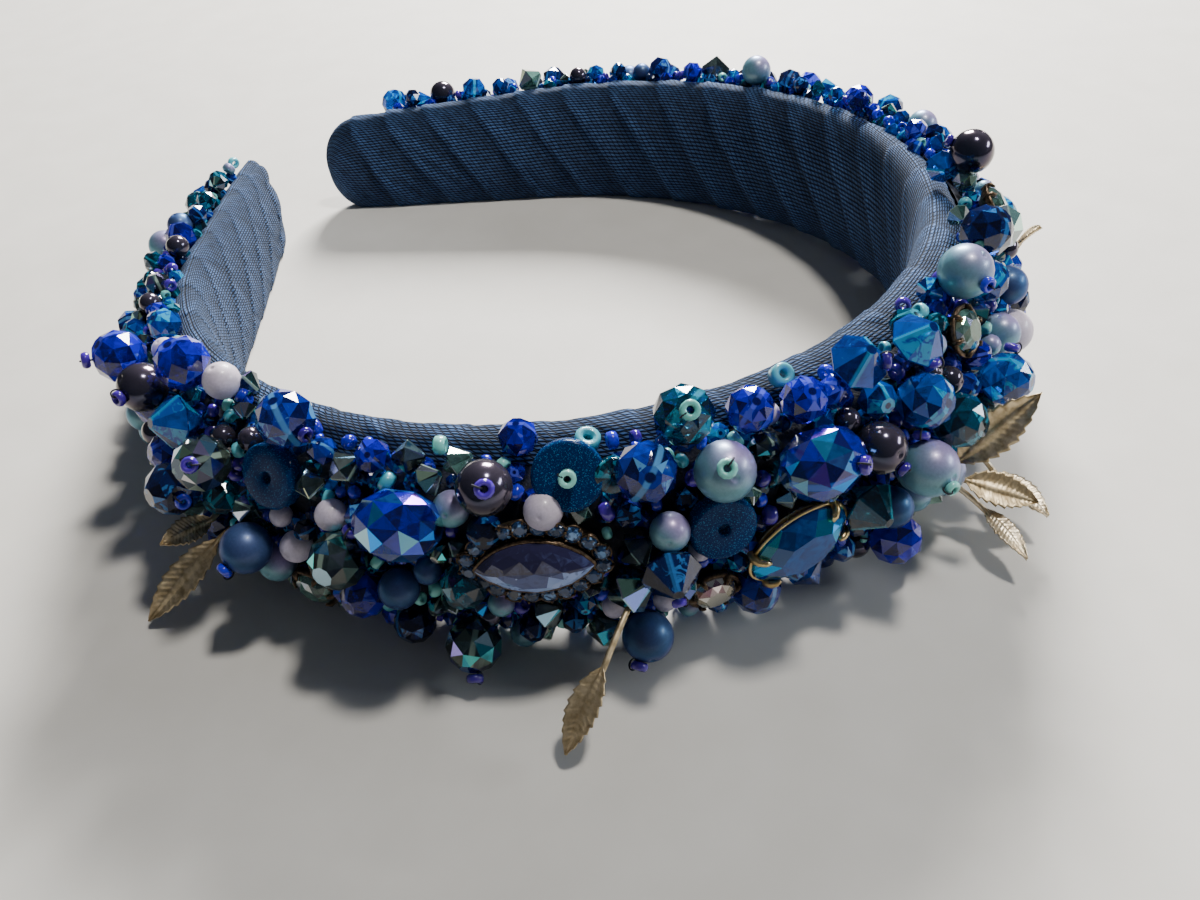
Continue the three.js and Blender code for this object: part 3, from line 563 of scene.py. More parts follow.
def mesh_object(name, vertices, faces, smooth=False):
    mesh = new_mesh(name, vertices, faces, smooth)
    mesh.update()
    return show(name, mesh)


def closed_shape(name, vertices, faces, smooth):
    """A body kept out of the scene, to be set on points or moved to its seat."""
    mesh = new_mesh(name, vertices, faces, smooth)
    face_outward(mesh)
    keep_local(mesh)
    return bpy.data.objects.new(name, mesh)


def circle(middle, first, second, radius, count):
    """Points round a middle, in the plane of two directions."""
    angles = [math.tau * i / count for i in range(count)]
    return [middle + (first * math.cos(angle) + second * math.sin(angle)) * radius for angle in angles]


def ring(radius, height, count, turn=0.0):
    """Points of a level ring round Z."""
    points = []
    for i in range(count):
        angle = math.tau * (i + turn) / count
        points.append(Vector((radius * math.cos(angle), radius * math.sin(angle), height)))
    return points


def hull_shape(name, points):
    """Convex faceted body over the points, each facet flat."""
    work = bmesh.new()
    for point in points:
        work.verts.new(point)
    made = bmesh.ops.convex_hull(work, input=work.verts)
    loose = [item for item in made["geom_interior"] if isinstance(item, bmesh.types.BMVert)]
    bmesh.ops.delete(work, geom=loose, context="VERTS")
    bmesh.ops.dissolve_limit(work, angle_limit=0.03, verts=work.verts, edges=work.edges)
    bmesh.ops.recalc_face_normals(work, faces=work.faces)
    mesh = bpy.data.meshes.new(name)
    work.to_mesh(mesh)
    work.free()
    keep_local(mesh)
    return bpy.data.objects.new(name, mesh)


def turned_shape(name, profile, sides, closed=True):
    """A body turned about Z from (radius, height) points; closed joins the last point to the first."""
    vertices = []
    rings = []
    for radius, height in profile:
        if radius < 1e-6:
            rings.append([len(vertices)])
            vertices.append(Vector((0, 0, height)))
        else:
            rings.append(list(range(len(vertices), len(vertices) + sides)))
            vertices += ring(radius, height, sides)
    faces = []
    pairs = list(zip(rings, rings[1:]))
    if closed:
        pairs.append((rings[-1], rings[0]))
    for first, second in pairs:
        for i in range(sides):
            a, b = first[i % len(first)], first[(i + 1) % len(first)]
            c, d = second[(i + 1) % len(second)], second[i % len(second)]
            corners = [a, b, c, d]
            faces.append([v for k, v in enumerate(corners) if v != corners[k - 1]])
    return closed_shape(name, vertices, faces, True)


def swept(name, rings, closed=True, smooth=True):
    """Skin over rings of equal count, closed into a loop or else with its ends filled."""
    count = len(rings[0])
    vertices = [point for one in rings for point in one]
    faces = []
    spans = len(rings) if closed else len(rings) - 1
    for i in range(spans):
        a = i * count
        b = ((i + 1) % len(rings)) * count
        for k in range(count):
            j = (k + 1) % count
            faces.append((a + k, b + k, b + j, a + j))
    if not closed:
        faces.append(tuple(range(count)))
        faces.append(tuple(range(len(vertices) - count, len(vertices))))
    return closed_shape(name, vertices, faces, smooth)


def arc_profile(count, start, end, radius_x=1.0, radius_y=1.0, shift=0.0):
    points = []
    for i in range(count):
        angle = math.radians(start + (end - start) * i / (count - 1))
        points.append((shift + radius_x * math.cos(angle), radius_y * math.sin(angle)))
    return points


# Bead shapes of unit radius. Hulls are given by rings of (radius, height, count, turn).
CUT_LATITUDES = ((68, 0), (40, 0.5), (13, 0), (-13, 0.5), (-40, 0), (-68, 0.5))
HULLS = {
    "round": [(math.cos(math.radians(rise)), math.sin(math.radians(rise)), 8, turn)
              for rise, turn in CUT_LATITUDES],
    "fire": [(0.42, 0.88, 7), (0.93, 0.36, 7, 0.5), (0.93, -0.36, 7), (0.42, -0.88, 7, 0.5)],
    "bicone": [(0.2, 0.92, 8), (1, 0.03, 8), (1, -0.03, 8), (0.2, -0.92, 8, 0.5)],
    "oval": [(0.3, 1.0, 8), (0.6, 0.78, 8, 0.5), (0.82, 0.35, 8), (0.84, -0.02, 8, 0.5), (0.8, -0.38, 8),
             (0.6, -0.78, 8, 0.5), (0.3, -1.0, 8)],
    "brilliant": [(1, 0, 12), (0.99, 0.08, 12), (0.82, 0.34, 12, 0.5), (0.5, 0.5, 8), (0.55, -0.35, 8)],
}
PEARL_PROFILE = [(0, -0.96), (0.13, -0.97)] + arc_profile(13, -80, 80) + [(0.13, 0.97), (0, 0.9)]
SEED_PROFILE = arc_profile(8, -180, 135, 0.33, 0.62, 0.67)
TUBE_PROFILE = [(0.42, -0.8), (0.8, -0.85), (0.97, -0.7), (1.0, 0.7), (0.8, 0.85), (0.42, 0.8)]
DISC_PROFILE = [(0, -0.26), (0.86, -0.26), (0.93, -0.25), (0.99, -0.18), (1.0, -0.1), (1.0, 0.1),
                (0.99, 0.18), (0.93, 0.25), (0.86, 0.26), (0.24, 0.26), (0.19, 0.25), (0.17, 0.2),
                (0.16, 0.06), (0, 0.05)]
CHATON_PROFILE = [(0.5, -0.6), (0.95, -0.45), (1.14, 0.0), (1.14, 0.14), (1.0, 0.14), (0.9, -0.3),
                  (0.5, -0.45)]
CUP_PROFILE = [(0.3, -0.64), (0.55, -0.64), (1.16, -0.12), (1.19, 0.08), (1.03, 0.1), (0.95, -0.2),
               (0.3, -0.5)]
LOOP_THICK = 0.11
LOOP_STEPS = 16


def loop_shape():
    """The thread's loop through a seed bead's hole and over its side."""
    rings = []
    for i in range(LOOP_STEPS):
        angle = math.tau * i / LOOP_STEPS
        middle = Vector((0.67 + 0.44 * math.cos(angle), 0, 0.74 * math.sin(angle)))
        away = Vector((math.cos(angle), 0, math.sin(angle)))
        rings.append(circle(middle, away, Y_AXIS, LOOP_THICK, 6))
    return swept("loop", rings)


SHAPES = {name: hull_shape(name, [point for row in rows for point in ring(*row)])
          for name, rows in HULLS.items()}
SHAPES["pearl"] = turned_shape("pearl", PEARL_PROFILE, 20, closed=False)
SHAPES["seed"] = turned_shape("seed", SEED_PROFILE, 11)
SHAPES["tube"] = turned_shape("tube_seed", TUBE_PROFILE, 14)
SHAPES["disc"] = turned_shape("disc", DISC_PROFILE, 32, closed=False)
SHAPES["loop"] = loop_shape()


def bead_tree():
    """Geometry nodes that set one bead shape on every point, made real, in one finish."""
    tree = bpy.data.node_groups.new("string_of_beads", "GeometryNodeTree")
    for name, way, kind in (("Geometry", "INPUT", "Geometry"), ("Bead", "INPUT", "Object"),
                            ("Finish", "INPUT", "Material"), ("Geometry", "OUTPUT", "Geometry")):
        tree.interface.new_socket(name, in_out=way, socket_type="NodeSocket" + kind)
    kinds = ("NodeGroupInput", "NodeGroupOutput", "GeometryNodeObjectInfo",
             "GeometryNodeInputNamedAttribute", "GeometryNodeInputNamedAttribute",
             "GeometryNodeInstanceOnPoints", "GeometryNodeRealizeInstances", "GeometryNodeSetMaterial")
    start, end, shape, turn, size, set_on, real, dress = (tree.nodes.new(kind) for kind in kinds)
    for node, name in ((turn, "turn"), (size, "size")):
        node.data_type = "FLOAT_VECTOR"
        node.inputs["Name"].default_value = name
    for source, output, target, socket in (
            (start, "Geometry", set_on, "Points"), (start, "Bead", shape, "Object"),
            (shape, "Geometry", set_on, "Instance"), (turn, "Attribute", set_on, "Rotation"),
            (size, "Attribute", set_on, "Scale"), (set_on, "Instances", real, "Geometry"),
            (real, "Geometry", dress, "Geometry"), (start, "Finish", dress, "Material"),
            (dress, "Geometry", end, "Geometry")):
        tree.links.new(source.outputs[output], target.inputs[socket])
    return tree


BEAD_TREE = bead_tree()


def facet_shades(mesh, seed):
    """Each face's own random share of painted light, kept as a face attribute for the glass."""
    source = np.random.default_rng(seed)
    shades = mesh.attributes.new("facet", "FLOAT", "FACE")
    shades.data.foreach_set("value", source.random(len(mesh.polygons)).astype(np.float32))


def string_beads(name, shape, finish, beads, seed):
    """One mesh of many beads. Each bead is (place, axis direction, size along x y z, tone)."""
    points = mesh_object(name + "_points", [bead[0] for bead in beads], [])
    source = random.Random(seed)
    turns = []
    for _, axis, _, _ in beads:
        upright = Vector(axis).to_track_quat("Z", "Y").to_matrix()
        spin = Matrix.Rotation(source.uniform(0, math.tau), 3, "Z")
        turns.append((upright @ spin).to_euler())
    keep_vectors(points.data, "turn", turns)
    keep_vectors(points.data, "size", [bead[2] for bead in beads])
    keep_on_points(points.data, "tone", "FLOAT", "value", [bead[3] for bead in beads])
    modifier = points.modifiers.new("beads", "NODES")
    modifier.node_group = BEAD_TREE
    inputs = {item.name: item.identifier for item in BEAD_TREE.interface.items_tree if item.in_out == "INPUT"}
    modifier[inputs["Bead"]] = SHAPES[shape]
    modifier[inputs["Finish"]] = FINISHES[finish]
    graph = bpy.context.evaluated_depsgraph_get()
    mesh = bpy.data.meshes.new_from_object(points.evaluated_get(graph))
    mesh.name = name
    bpy.data.objects.remove(points)
    facet_shades(mesh, seed)
    piece = show(name, mesh)
    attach(piece, "root")
    return piece


# Wound ribbon over the padding

SECTION_STEPS = 112
BAND_STATIONS = 820
CAP_STATIONS = 22
NARROWEST = 0.02
RIBBON_PITCH = 9.5 * MM
RIBBON_SLANT = 6 * MM
RIBBON_EDGE = 0.9 * MM
SLANT_TURN = 25 * MM
SLANT_FADE = 20 * MM
RIBBON_SWAY = 1.1 * MM
CREASE = 0.22 * MM
CREASE_PITCH = 2.1 * MM
LEFT_SOFTNESS = 0.62
TIP_ROUNDING = 8 * MM
GATHER_FOLDS = 7
GATHER_DEPTH = 0.9 * MM
GATHER_REACH = 26 * MM
GIRTH_RADIUS = 9 * MM
LOWEST = 0.1 * MM


def section_place(along, angle, raised, shrink):
    """Point of the wound band's skin, with the padding's own rounded section."""
    point, out, _ = plan_at(along)
    swing = math.cos(angle)
    if swing < 0:
        reach = -INNER_CROWNING * abs(swing) ** 0.55
    else:
        reach = (depth_at(along) - INNER_CROWNING) * swing
    place = point + out * (INNER_CROWNING + reach * shrink + raised * swing)
    place.z = (half_height_at(along) * shrink + raised) * math.sin(angle)
    return place


def wave(value, seed):
    """Smooth noise of two numbers between -1 and 1, from a few sines with set phases."""
    x, y = value
    total = 0.0
    for i in range(4):
        bend = 1.3 * math.sin(y * (1.1 + 0.5 * i) + seed)
        total += math.sin(x * (1 + 0.7 * i) + 1.9 * seed * (i + 1) + bend)
    return total / 4


def ribbon_relief(along, angle):
    """How high the ribbon stands over the padding: overlapping turns, a soft edge and slanting creases."""
    fade = min(1, (HALF_LENGTH - abs(along)) / SLANT_FADE)
    lean = -max(-1.0, min(1.0, along / SLANT_TURN))
    sway = RIBBON_SWAY * wave((angle, along * 40), 2.0)
    turns = (along + lean * RIBBON_SLANT * fade * math.sin(angle) + sway) / RIBBON_PITCH
    count = math.floor(turns)
    inside = turns - count
    rounded = min(1, (1 - inside) / (RIBBON_EDGE / RIBBON_PITCH))
    rise = (0.25 + 0.75 * inside ** 1.5) * math.sqrt(max(0.0, 1 - (1 - rounded) ** 2))
    crease_x = (along + angle * GIRTH_RADIUS) / CREASE_PITCH
    crease = wave((crease_x + count, angle * 1.5 + count * 2.0), 5.0)
    fine = wave((crease_x * 2.3, angle * 3.1 + count), 1.0)
    soft = LEFT_SOFTNESS if along < 0 else 1.0
    return RIBBON_STEP * (0.15 + rise * soft) + CREASE * (0.6 * crease + 0.4 * fine) * (0.4 + 0.6 * inside)


def band_ring(along, shrink):
    """Points round the wound band at a length, each with how high the ribbon stands there."""
    rows = []
    end = max(0.0, 1 - (HALF_LENGTH - abs(along)) / GATHER_REACH)
    for k in range(SECTION_STEPS):
        angle = math.tau * (k + 0.5) / SECTION_STEPS
        relief = ribbon_relief(along, angle)
        gather = 0.0
        if along < 0:
            folds = abs(math.sin(GATHER_FOLDS * angle / 2 + 0.4 * math.sin(3 * angle)))
            gather = GATHER_DEPTH * end * (1 - folds)
        rows.append((section_place(along, angle, relief - gather, shrink), relief / RIBBON_STEP))
    return rows


def band_stations():
    """Lengths along the band and how far its section has drawn in there, the tips rounded off."""
    cap = []
    for i in range(CAP_STATIONS):
        angle = math.pi / 2 * (i / (CAP_STATIONS - 1))
        cap.append((HALF_LENGTH - TIP_ROUNDING * (1 - math.cos(angle)), max(math.sin(angle), NARROWEST)))
    inner = cap[-1][0]
    middle = [(-inner + 2 * inner * i / BAND_STATIONS, 1.0) for i in range(1, BAND_STATIONS)]
    return [(-along, draw) for along, draw in cap] + middle + cap[::-1]


def map_ribbon(mesh, uvs):
    """The ribbon's own lengths as a UV map, in metres, with the seam's faces kept whole."""
    layer = mesh.uv_layers.new(name="ribbon")
    for loop in mesh.loops:
        layer.data[loop.index].uv = uvs[loop.vertex_index]
    around = math.tau * GIRTH_RADIUS
    for face in mesh.polygons:
        values = [layer.data[i].uv[1] for i in face.loop_indices]
        if max(values) - min(values) > around / 2:
            for i in face.loop_indices:
                if layer.data[i].uv[1] < around / 2:
                    layer.data[i].uv[1] += around


def build_band():
    stations = band_stations()
    vertices = []
    uvs = []
    heights = []
    for along, draw in stations:
        for k, (place, height) in enumerate(band_ring(along, draw)):
            laid = to_part(place)
            laid.z = max(laid.z, LOWEST)
            vertices.append(laid)
            uvs.append((along, math.tau * k / SECTION_STEPS * GIRTH_RADIUS))
            heights.append(height)
    faces = []
    for i in range(len(stations) - 1):
        for k in range(SECTION_STEPS):
            a = i * SECTION_STEPS + k
            b = i * SECTION_STEPS + (k + 1) % SECTION_STEPS
            faces.append((a, a + SECTION_STEPS, b + SECTION_STEPS, b))
    faces.append(tuple(range(SECTION_STEPS)))
    faces.append(tuple(reversed(range(len(vertices) - SECTION_STEPS, len(vertices)))))
    band = mesh_object("ribbon_band", vertices, faces, smooth=True)
    face_outward(band.data)
    # How high the ribbon stands, which its material turns into painted shade in the hollows between turns.
    keep_on_points(band.data, "height", "FLOAT", "value", heights)
    map_ribbon(band.data, uvs)
    band.data.materials.append(FINISHES["ribbon"])
    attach(band, "root")
    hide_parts("padded_band")


# Stitched ground under the beads

GROUND_ROWS = 26
GROUND_COLUMNS = 150
GROUND_REACH = math.radians(52)
GROUND_SHORT = 3.5 * MM
GROUND_SINK = 1.2 * MM
GROUND_LUMPS = 0.35 * MM
GROUND_TUCK = 0.4 * MM
RIM_ROWS = 3
RIM_COLUMNS = 4
END_SLOPE = 8 * MM
EDGE_SLOPE = math.radians(18)
SURFACE_ROWS = 24
SURFACE_COLUMNS = 260


def build_ground(name, side, node):
    vertices = []
    for i in range(GROUND_COLUMNS + 1):
        along = side * (BED_END - GROUND_SHORT) * i / GROUND_COLUMNS
        low_reach = -lower_reach_at(along)
        end = min(1, (GROUND_COLUMNS - i) / RIM_COLUMNS)
        for j in range(GROUND_ROWS + 1):
            across = low_reach + (GROUND_REACH - low_reach) * j / GROUND_ROWS
            rim = min(1, min(j, GROUND_ROWS - j) / RIM_ROWS) * end
            lumps = GROUND_LUMPS * wave((along * 900, across * 9), 3.0)
            tuck = bed_depth_at(along, across) + GROUND_TUCK
            lift = (lumps - GROUND_SINK) * rim - (1 - rim) * tuck
            vertices.append(to_part(bed_place(along, across, lift)[0]))
    faces = []
    width = GROUND_ROWS + 1
    for i in range(GROUND_COLUMNS):
        for j in range(GROUND_ROWS):
            a = i * width + j
            corners = (a, a + 1, a + width + 1, a + width)
            faces.append(corners if side < 0 else corners[::-1])
    ground = mesh_object(name, vertices, faces, smooth=True)
    ground.data.materials.append(FINISHES["ground"])
    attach(ground, "root")
    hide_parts(node)


def bed_drop(along, across):
    """How far the bed thins down to the ribbon, past the ground's upper edge and at the tips."""
    near_end = max(0.0, 1 - (BED_END - abs(along)) / END_SLOPE)
    near_edge = max(0.0, min(1.0, (across - GROUND_REACH) / EDGE_SLOPE))
    return max(near_end, near_edge) * bed_depth_at(along, across)


def surface_tree():
    """Nearest-point search on the bed's upper surface, where the beads sit."""
    vertices = []
    faces = []
    for i in range(SURFACE_COLUMNS + 1):
        along = -BED_END + 2 * BED_END * i / SURFACE_COLUMNS
        low_reach = -lower_reach_at(along)
        for j in range(SURFACE_ROWS + 1):
            across = low_reach + (BED_REACH - low_reach) * j / SURFACE_ROWS
            vertices.append(to_part(bed_place(along, across, -bed_drop(along, across))[0]))
    for i in range(SURFACE_COLUMNS):
        for j in range(SURFACE_ROWS):
            a = i * (SURFACE_ROWS + 1) + j
            faces.append((a, a + SURFACE_ROWS + 1, a + SURFACE_ROWS + 2, a + 1))
    return BVHTree.FromPolygons(vertices, faces)


SURFACE = surface_tree()


def outward(place):
    """The point of the bed nearest to a place, and the bed's outward direction there."""
    point, normal, _, _ = SURFACE.find_nearest(place)
    if normal.dot(bed_middle_out(point)) < 0:
        normal = -normal
    return point, normal


def bed_middle_out(point):
    """Rough outward direction at a point of the bed: away from the curved middle of the padding."""
    spot = to_band(point)
    level = Vector((spot.x, min(spot.y - CROWN_RADIUS, 0), 0))
    direction = level.normalized() * 0.5 + Vector((0, 0, spot.z / CROWN_HALF_HEIGHT)) * 0.5
    return LYING @ direction


SEEN_MISS = 3.5 * MM
SEEN_STEPS = 80
SEEN_REACH = 400 * MM
SEEN_NEAR = 0.05 * MM
SEEN_LEAST = 0.03 * MM
FLOOR_GAP = 0.3 * MM


def seen_at(x, y, radius):
    """Where a bead of that radius lies on the bed to show at that pixel."""
    ray = pixel_ray(x, y).normalized()
    place = VIEW_PLACE.copy()
    best = None
    for _ in range(SEEN_STEPS):
        room = SURFACE.find_nearest(place)[3] - radius
        if best is None or room < best[0]:
            best = (room, place.copy())
        if room < SEEN_NEAR:
            break
        place += ray * max(room * 0.9, SEEN_LEAST)
        if (place - VIEW_PLACE).length > SEEN_REACH:
            break
    if best[0] > SEEN_MISS:
        return None
    point, normal = outward(best[1])
    seated = point + normal * radius
    seated.z = max(seated.z, radius + FLOOR_GAP)
    return seated


# Stones that are nodes of the frame

FINISH_OF = {name: name for name in (
    "mist_pearl", "graphite_pearl", "night_pearl", "blush_pearl", "cobalt", "sapphire", "teal", "smoke",
    "azure", "navy", "sky")}
FINISH_OF["ink"] = "navy"
STONE_WORDS = ("pearl", "round", "_oval_", "bicone", "disc", "cobalt_bead")
STONE_NODES = [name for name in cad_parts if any(word in name for word in STONE_WORDS)]
SET_NODES = ("marquise_halo", "claw_oval", "clear_stone_cup", "mint_stone_cup_right", "mint_stone_cup_back",
             "mint_stone_cup_left")
SET_SHARE = 0.4
OVAL_SIZE = 5 * MM
BICONE_SIZE = 3.6 * MM
DISC_RADIUS = 4.2 * MM
DISC_SIZE = 4.5 * MM
ROUND_SIZE = 3.5 * MM
SMALL_ROUND_SIZE = 2.8 * MM
ROUND_GROWTH = 1.03
MIDDLE_TONE = 0.5


def node_middle(name):
    lowest, highest = (Vector(corner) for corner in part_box(name))
    return (lowest + highest) / 2, highest - lowest


def run_direction(normal):
    """Direction along the band where its outward direction is known."""
    return normal.cross(LYING @ Z_AXIS).normalized()


def dress_stones():
    """A finer stone for each stone node, at its middle. Gives the room that they and the settings take."""
    taken = []
    for name in STONE_NODES:
        middle, extent = node_middle(name)
        _, normal = outward(middle)
        finish = next(value for key, value in FINISH_OF.items() if name.startswith(key))
        axis = normal
        if "pearl" in name:
            radius = max(extent) / 2
            shape, size = "pearl", (radius, radius, radius)
        elif "_oval_" in name:
            shape, size = "oval", (OVAL_SIZE, OVAL_SIZE, OVAL_SIZE)
            axis = run_direction(normal)
        elif "bicone" in name:
            shape, size = "bicone", (BICONE_SIZE, BICONE_SIZE, BICONE_SIZE)
        elif "disc" in name:
            finish = "glitter"
            shape, size = "disc", (DISC_RADIUS, DISC_RADIUS, DISC_SIZE)
        else:
            radius = (SMALL_ROUND_SIZE if "bead" in name else ROUND_SIZE) * ROUND_GROWTH
            shape, size = "round", (radius, radius, radius)
        piece = string_beads("stone_" + name, shape, finish, [(middle, axis, size, MIDDLE_TONE)], len(name))
        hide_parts(name)
        taken.append((middle, max(size)))
    for name in SET_NODES:
        middle, extent = node_middle(name)
        taken.append((middle, max(extent) * SET_SHARE))
    return taken


# Beads seen in the photo: pixel across and down, size in mm, shape and finish.
BEADS_SEEN = [
    (268, 153, 2.2, "seed", "turquoise"), (246, 165, 2.2, "seed", "turquoise"),
    (230, 168, 2.4, "seed", "mist_pearl"), (221, 183, 3, "bicone", "smoke"), (212, 187, 3, "round", "navy"),
    (215, 200, 3.4, "round", "teal"), (200, 213, 3.4, "round", "navy"),
    (180, 225, 4.2, "pearl", "night_pearl"), (181, 245, 3.6, "pearl", "graphite_pearl"),
    (150, 262, 3.4, "round", "teal"), (172, 268, 1.8, "seed", "violet_seed"),
    (152, 280, 3, "round", "teal"), (170, 285, 2, "seed", "violet_seed"),
    (150, 303, 3.2, "pearl", "graphite_pearl"), (152, 310, 2, "seed", "cobalt_seed"),
    (135, 330, 3.6, "round", "azure"), (165, 325, 5, "round", "azure"),
    (165, 350, 3.6, "pearl", "blush_pearl"), (195, 368, 2.6, "pearl", "graphite_pearl"),
    (190, 395, 3, "round", "teal"), (228, 405, 1.8, "seed", "mint_seed"),
    (246, 385, 4.2, "bicone", "smoke"), (246, 398, 2, "seed", "cobalt_seed"),
    (245, 410, 3, "bicone", "smoke"), (175, 415, 4.2, "bicone", "azure"),
    (285, 420, 4.2, "round", "sapphire"), (142, 453, 2.2, "seed", "violet_seed"),
    (155, 500, 2.4, "seed", "cobalt_seed"), (163, 505, 2.4, "seed", "cobalt_seed"),
    (316, 427, 2, "seed", "cobalt_seed"), (303, 433, 1.8, "seed", "violet_seed"),
    (297, 445, 2.6, "round", "azure"), (349, 442, 2, "seed", "cobalt_seed"),
    (347, 533, 2, "seed", "violet_seed"), (265, 490, 4.4, "disc", "turquoise"),
    (331, 515, 4, "pearl", "blush_pearl"), (328, 498, 2, "seed", "turquoise"),
    (345, 468, 4.4, "bicone", "smoke"), (310, 485, 4, "bicone", "smoke"),
    (322, 450, 3.6, "round", "sapphire"), (305, 530, 3, "round", "navy"), (345, 590, 3.4, "bicone", "sky"),
    (350, 600, 3.2, "bicone", "sky"), (373, 456, 4.4, "round", "cobalt"),
    (408, 457, 4.2, "bicone", "smoke"), (440, 445, 2.4, "seed", "mint_seed"),
    (458, 462, 4, "bicone", "mint"), (428, 478, 4, "bicone", "smoke"), (387, 482, 2.6, "seed", "turquoise"),
    (518, 437, 4.8, "round", "cobalt"), (532, 472, 4.4, "pearl", "blush_pearl"),
    (543, 511, 4.6, "pearl", "blush_pearl"), (451, 509, 4.4, "pearl", "mist_pearl"),
    (485, 532, 4.6, "round", "navy"), (452, 603, 3.4, "bicone", "mint"), (480, 607, 2.6, "bicone", "sky"),
    (525, 645, 4, "pearl", "mist_pearl"), (545, 635, 3.4, "bicone", "mint"),
    (575, 620, 3.4, "round", "navy"), (490, 615, 3, "pearl", "graphite_pearl"),
    (590, 640, 2, "seed", "mint_seed"), (613, 475, 4.4, "disc", "teal"), (587, 441, 3, "tube", "turquoise"),
    (612, 440, 2.2, "seed", "cobalt_seed"), (750, 410, 5.2, "round", "cobalt"),
    (765, 445, 3.8, "round", "smoke"), (670, 532, 4.8, "pearl", "mist_pearl"),
    (636, 550, 4.6, "bicone", "smoke"), (580, 512, 3.2, "bicone", "mint"),
    (607, 512, 2.4, "seed", "violet_seed"), (628, 515, 3.2, "round", "navy"),
    (607, 533, 1.6, "seed", "mint_seed"), (665, 600, 3, "pearl", "blush_pearl"),
    (646, 637, 5.8, "pearl", "night_pearl"), (700, 550, 2.8, "pearl", "blush_pearl"),
    (719, 550, 1.9, "seed", "mint_seed"), (755, 603, 2.5, "seed", "turquoise"),
    (745, 615, 1.8, "seed", "turquoise"), (750, 495, 3, "bicone", "mint"), (715, 515, 4.6, "disc", "navy"),
    (781, 375, 2.8, "tube", "turquoise"), (803, 408, 5.2, "round", "azure"),
    (835, 390, 4, "round", "cobalt"), (785, 470, 3.6, "bicone", "teal"),
    (920, 468, 6.2, "pearl", "mist_pearl"), (870, 505, 5, "bicone", "mint"),
    (860, 550, 4, "pearl", "graphite_pearl"), (895, 545, 4.4, "round", "azure"),
    (883, 527, 2, "seed", "violet_seed"), (880, 562, 2, "seed", "violet_seed"),
    (905, 575, 2, "seed", "violet_seed"), (770, 515, 2.6, "seed", "violet_seed"),
    (905, 415, 5.6, "round", "azure"), (935, 423, 2.2, "seed", "violet_seed"),
    (725, 625, 3.2, "round", "azure"), (688, 615, 2.4, "pearl", "graphite_pearl"),
    (663, 615, 2, "seed", "mint_seed"), (818, 88, 3, "bicone", "teal"), (829, 100, 3, "round", "azure"),
    (848, 107, 4, "round", "cobalt"), (889, 111, 3, "bicone", "smoke"), (902, 118, 3, "round", "azure"),
    (916, 130, 4, "round", "cobalt"), (938, 143, 3.4, "bicone", "azure"),
    (968, 158, 5, "pearl", "graphite_pearl"), (990, 142, 2.2, "seed", "violet_seed"),
    (930, 168, 5, "bicone", "azure"), (965, 178, 4, "round", "mint"), (1000, 180, 3, "pearl", "mist_pearl"),
    (985, 207, 3, "pearl", "mist_pearl"), (958, 215, 3.4, "bicone", "mint"),
    (998, 218, 2.4, "seed", "cobalt_seed"), (978, 255, 2.8, "seed", "mint_seed"),
    (967, 282, 5.4, "pearl", "mist_pearl"), (1000, 278, 4.4, "disc", "navy"),
    (940, 278, 2.4, "seed", "violet_seed"), (930, 290, 3.6, "bicone", "azure"),
    (903, 305, 2.2, "seed", "violet_seed"), (920, 312, 2.4, "seed", "turquoise"),
    (907, 325, 4.6, "round", "teal"), (933, 345, 3.4, "pearl", "mist_pearl"),
    (1018, 245, 3.6, "pearl", "graphite_pearl"), (1028, 262, 2.4, "seed", "violet_seed"),
    (1015, 270, 3, "disc", "mist_pearl"), (1020, 320, 2.4, "seed", "mint_seed"),
    (990, 345, 3, "pearl", "mist_pearl"), (1010, 365, 2.4, "seed", "violet_seed"),
    (1000, 385, 5.6, "round", "azure"), (1000, 460, 3.4, "round", "azure"),
    (955, 425, 3.4, "round", "teal"), (1020, 470, 2.2, "seed", "cobalt_seed"),
]


# Kinds of loose beads and seeds for the room that is left, with how often each comes.
FILL_KINDS = [
    ("round", "cobalt", 4), ("round", "sapphire", 3), ("round", "azure", 4), ("round", "teal", 2),
    ("round", "navy", 3), ("bicone", "smoke", 3), ("bicone", "mint", 2), ("bicone", "azure", 2),
    ("pearl", "mist_pearl", 2), ("pearl", "graphite_pearl", 2), ("pearl", "night_pearl", 2),
    ("pearl", "blush_pearl", 1), ("round", "smoke", 2),
]
SEED_KINDS = [("violet_seed", 4), ("cobalt_seed", 3), ("mint_seed", 2), ("turquoise", 1)]
UNDER_KINDS = ("cobalt", "navy", "sapphire", "azure", "teal")

# Layers of beads: smallest and largest size in mm, tries, and how far each may sink into its neighbours.
LAYERS = ((5.4, 6.8, 900, 0.12), (4.0, 5.2, 1800, 0.12), (2.8, 3.8, 3200, 0.15), (1.8, 2.3, 5200, 0.15),
          (2.6, 3.4, 2600, 0.75))
SEED_LARGEST = 2.5
UNDER_SQUEEZE = 0.5
BURIED_SHARE = 0.62
SEEN_SINK = 0.9
END_MARGIN = 3 * MM
TIP_SHRINK = 0.2
FRONT_FROM = -75 * MM
FRONT_TO = 45 * MM
FRONT_TOP = math.radians(56)
FRONT_SEED_TOP = math.radians(66)
BACK_TOP = BED_REACH * 0.9
LARGEST_FIRE = 2.7 * MM
TUBE_SQUAT = 0.85
UNDER_LIFT = -0.35
LEAST_LIFT = 0.5
MOST_LIFT = 0.85
LYING_TURN = 0.9
LEAN = 0.3
MOST_RISE = 0.5


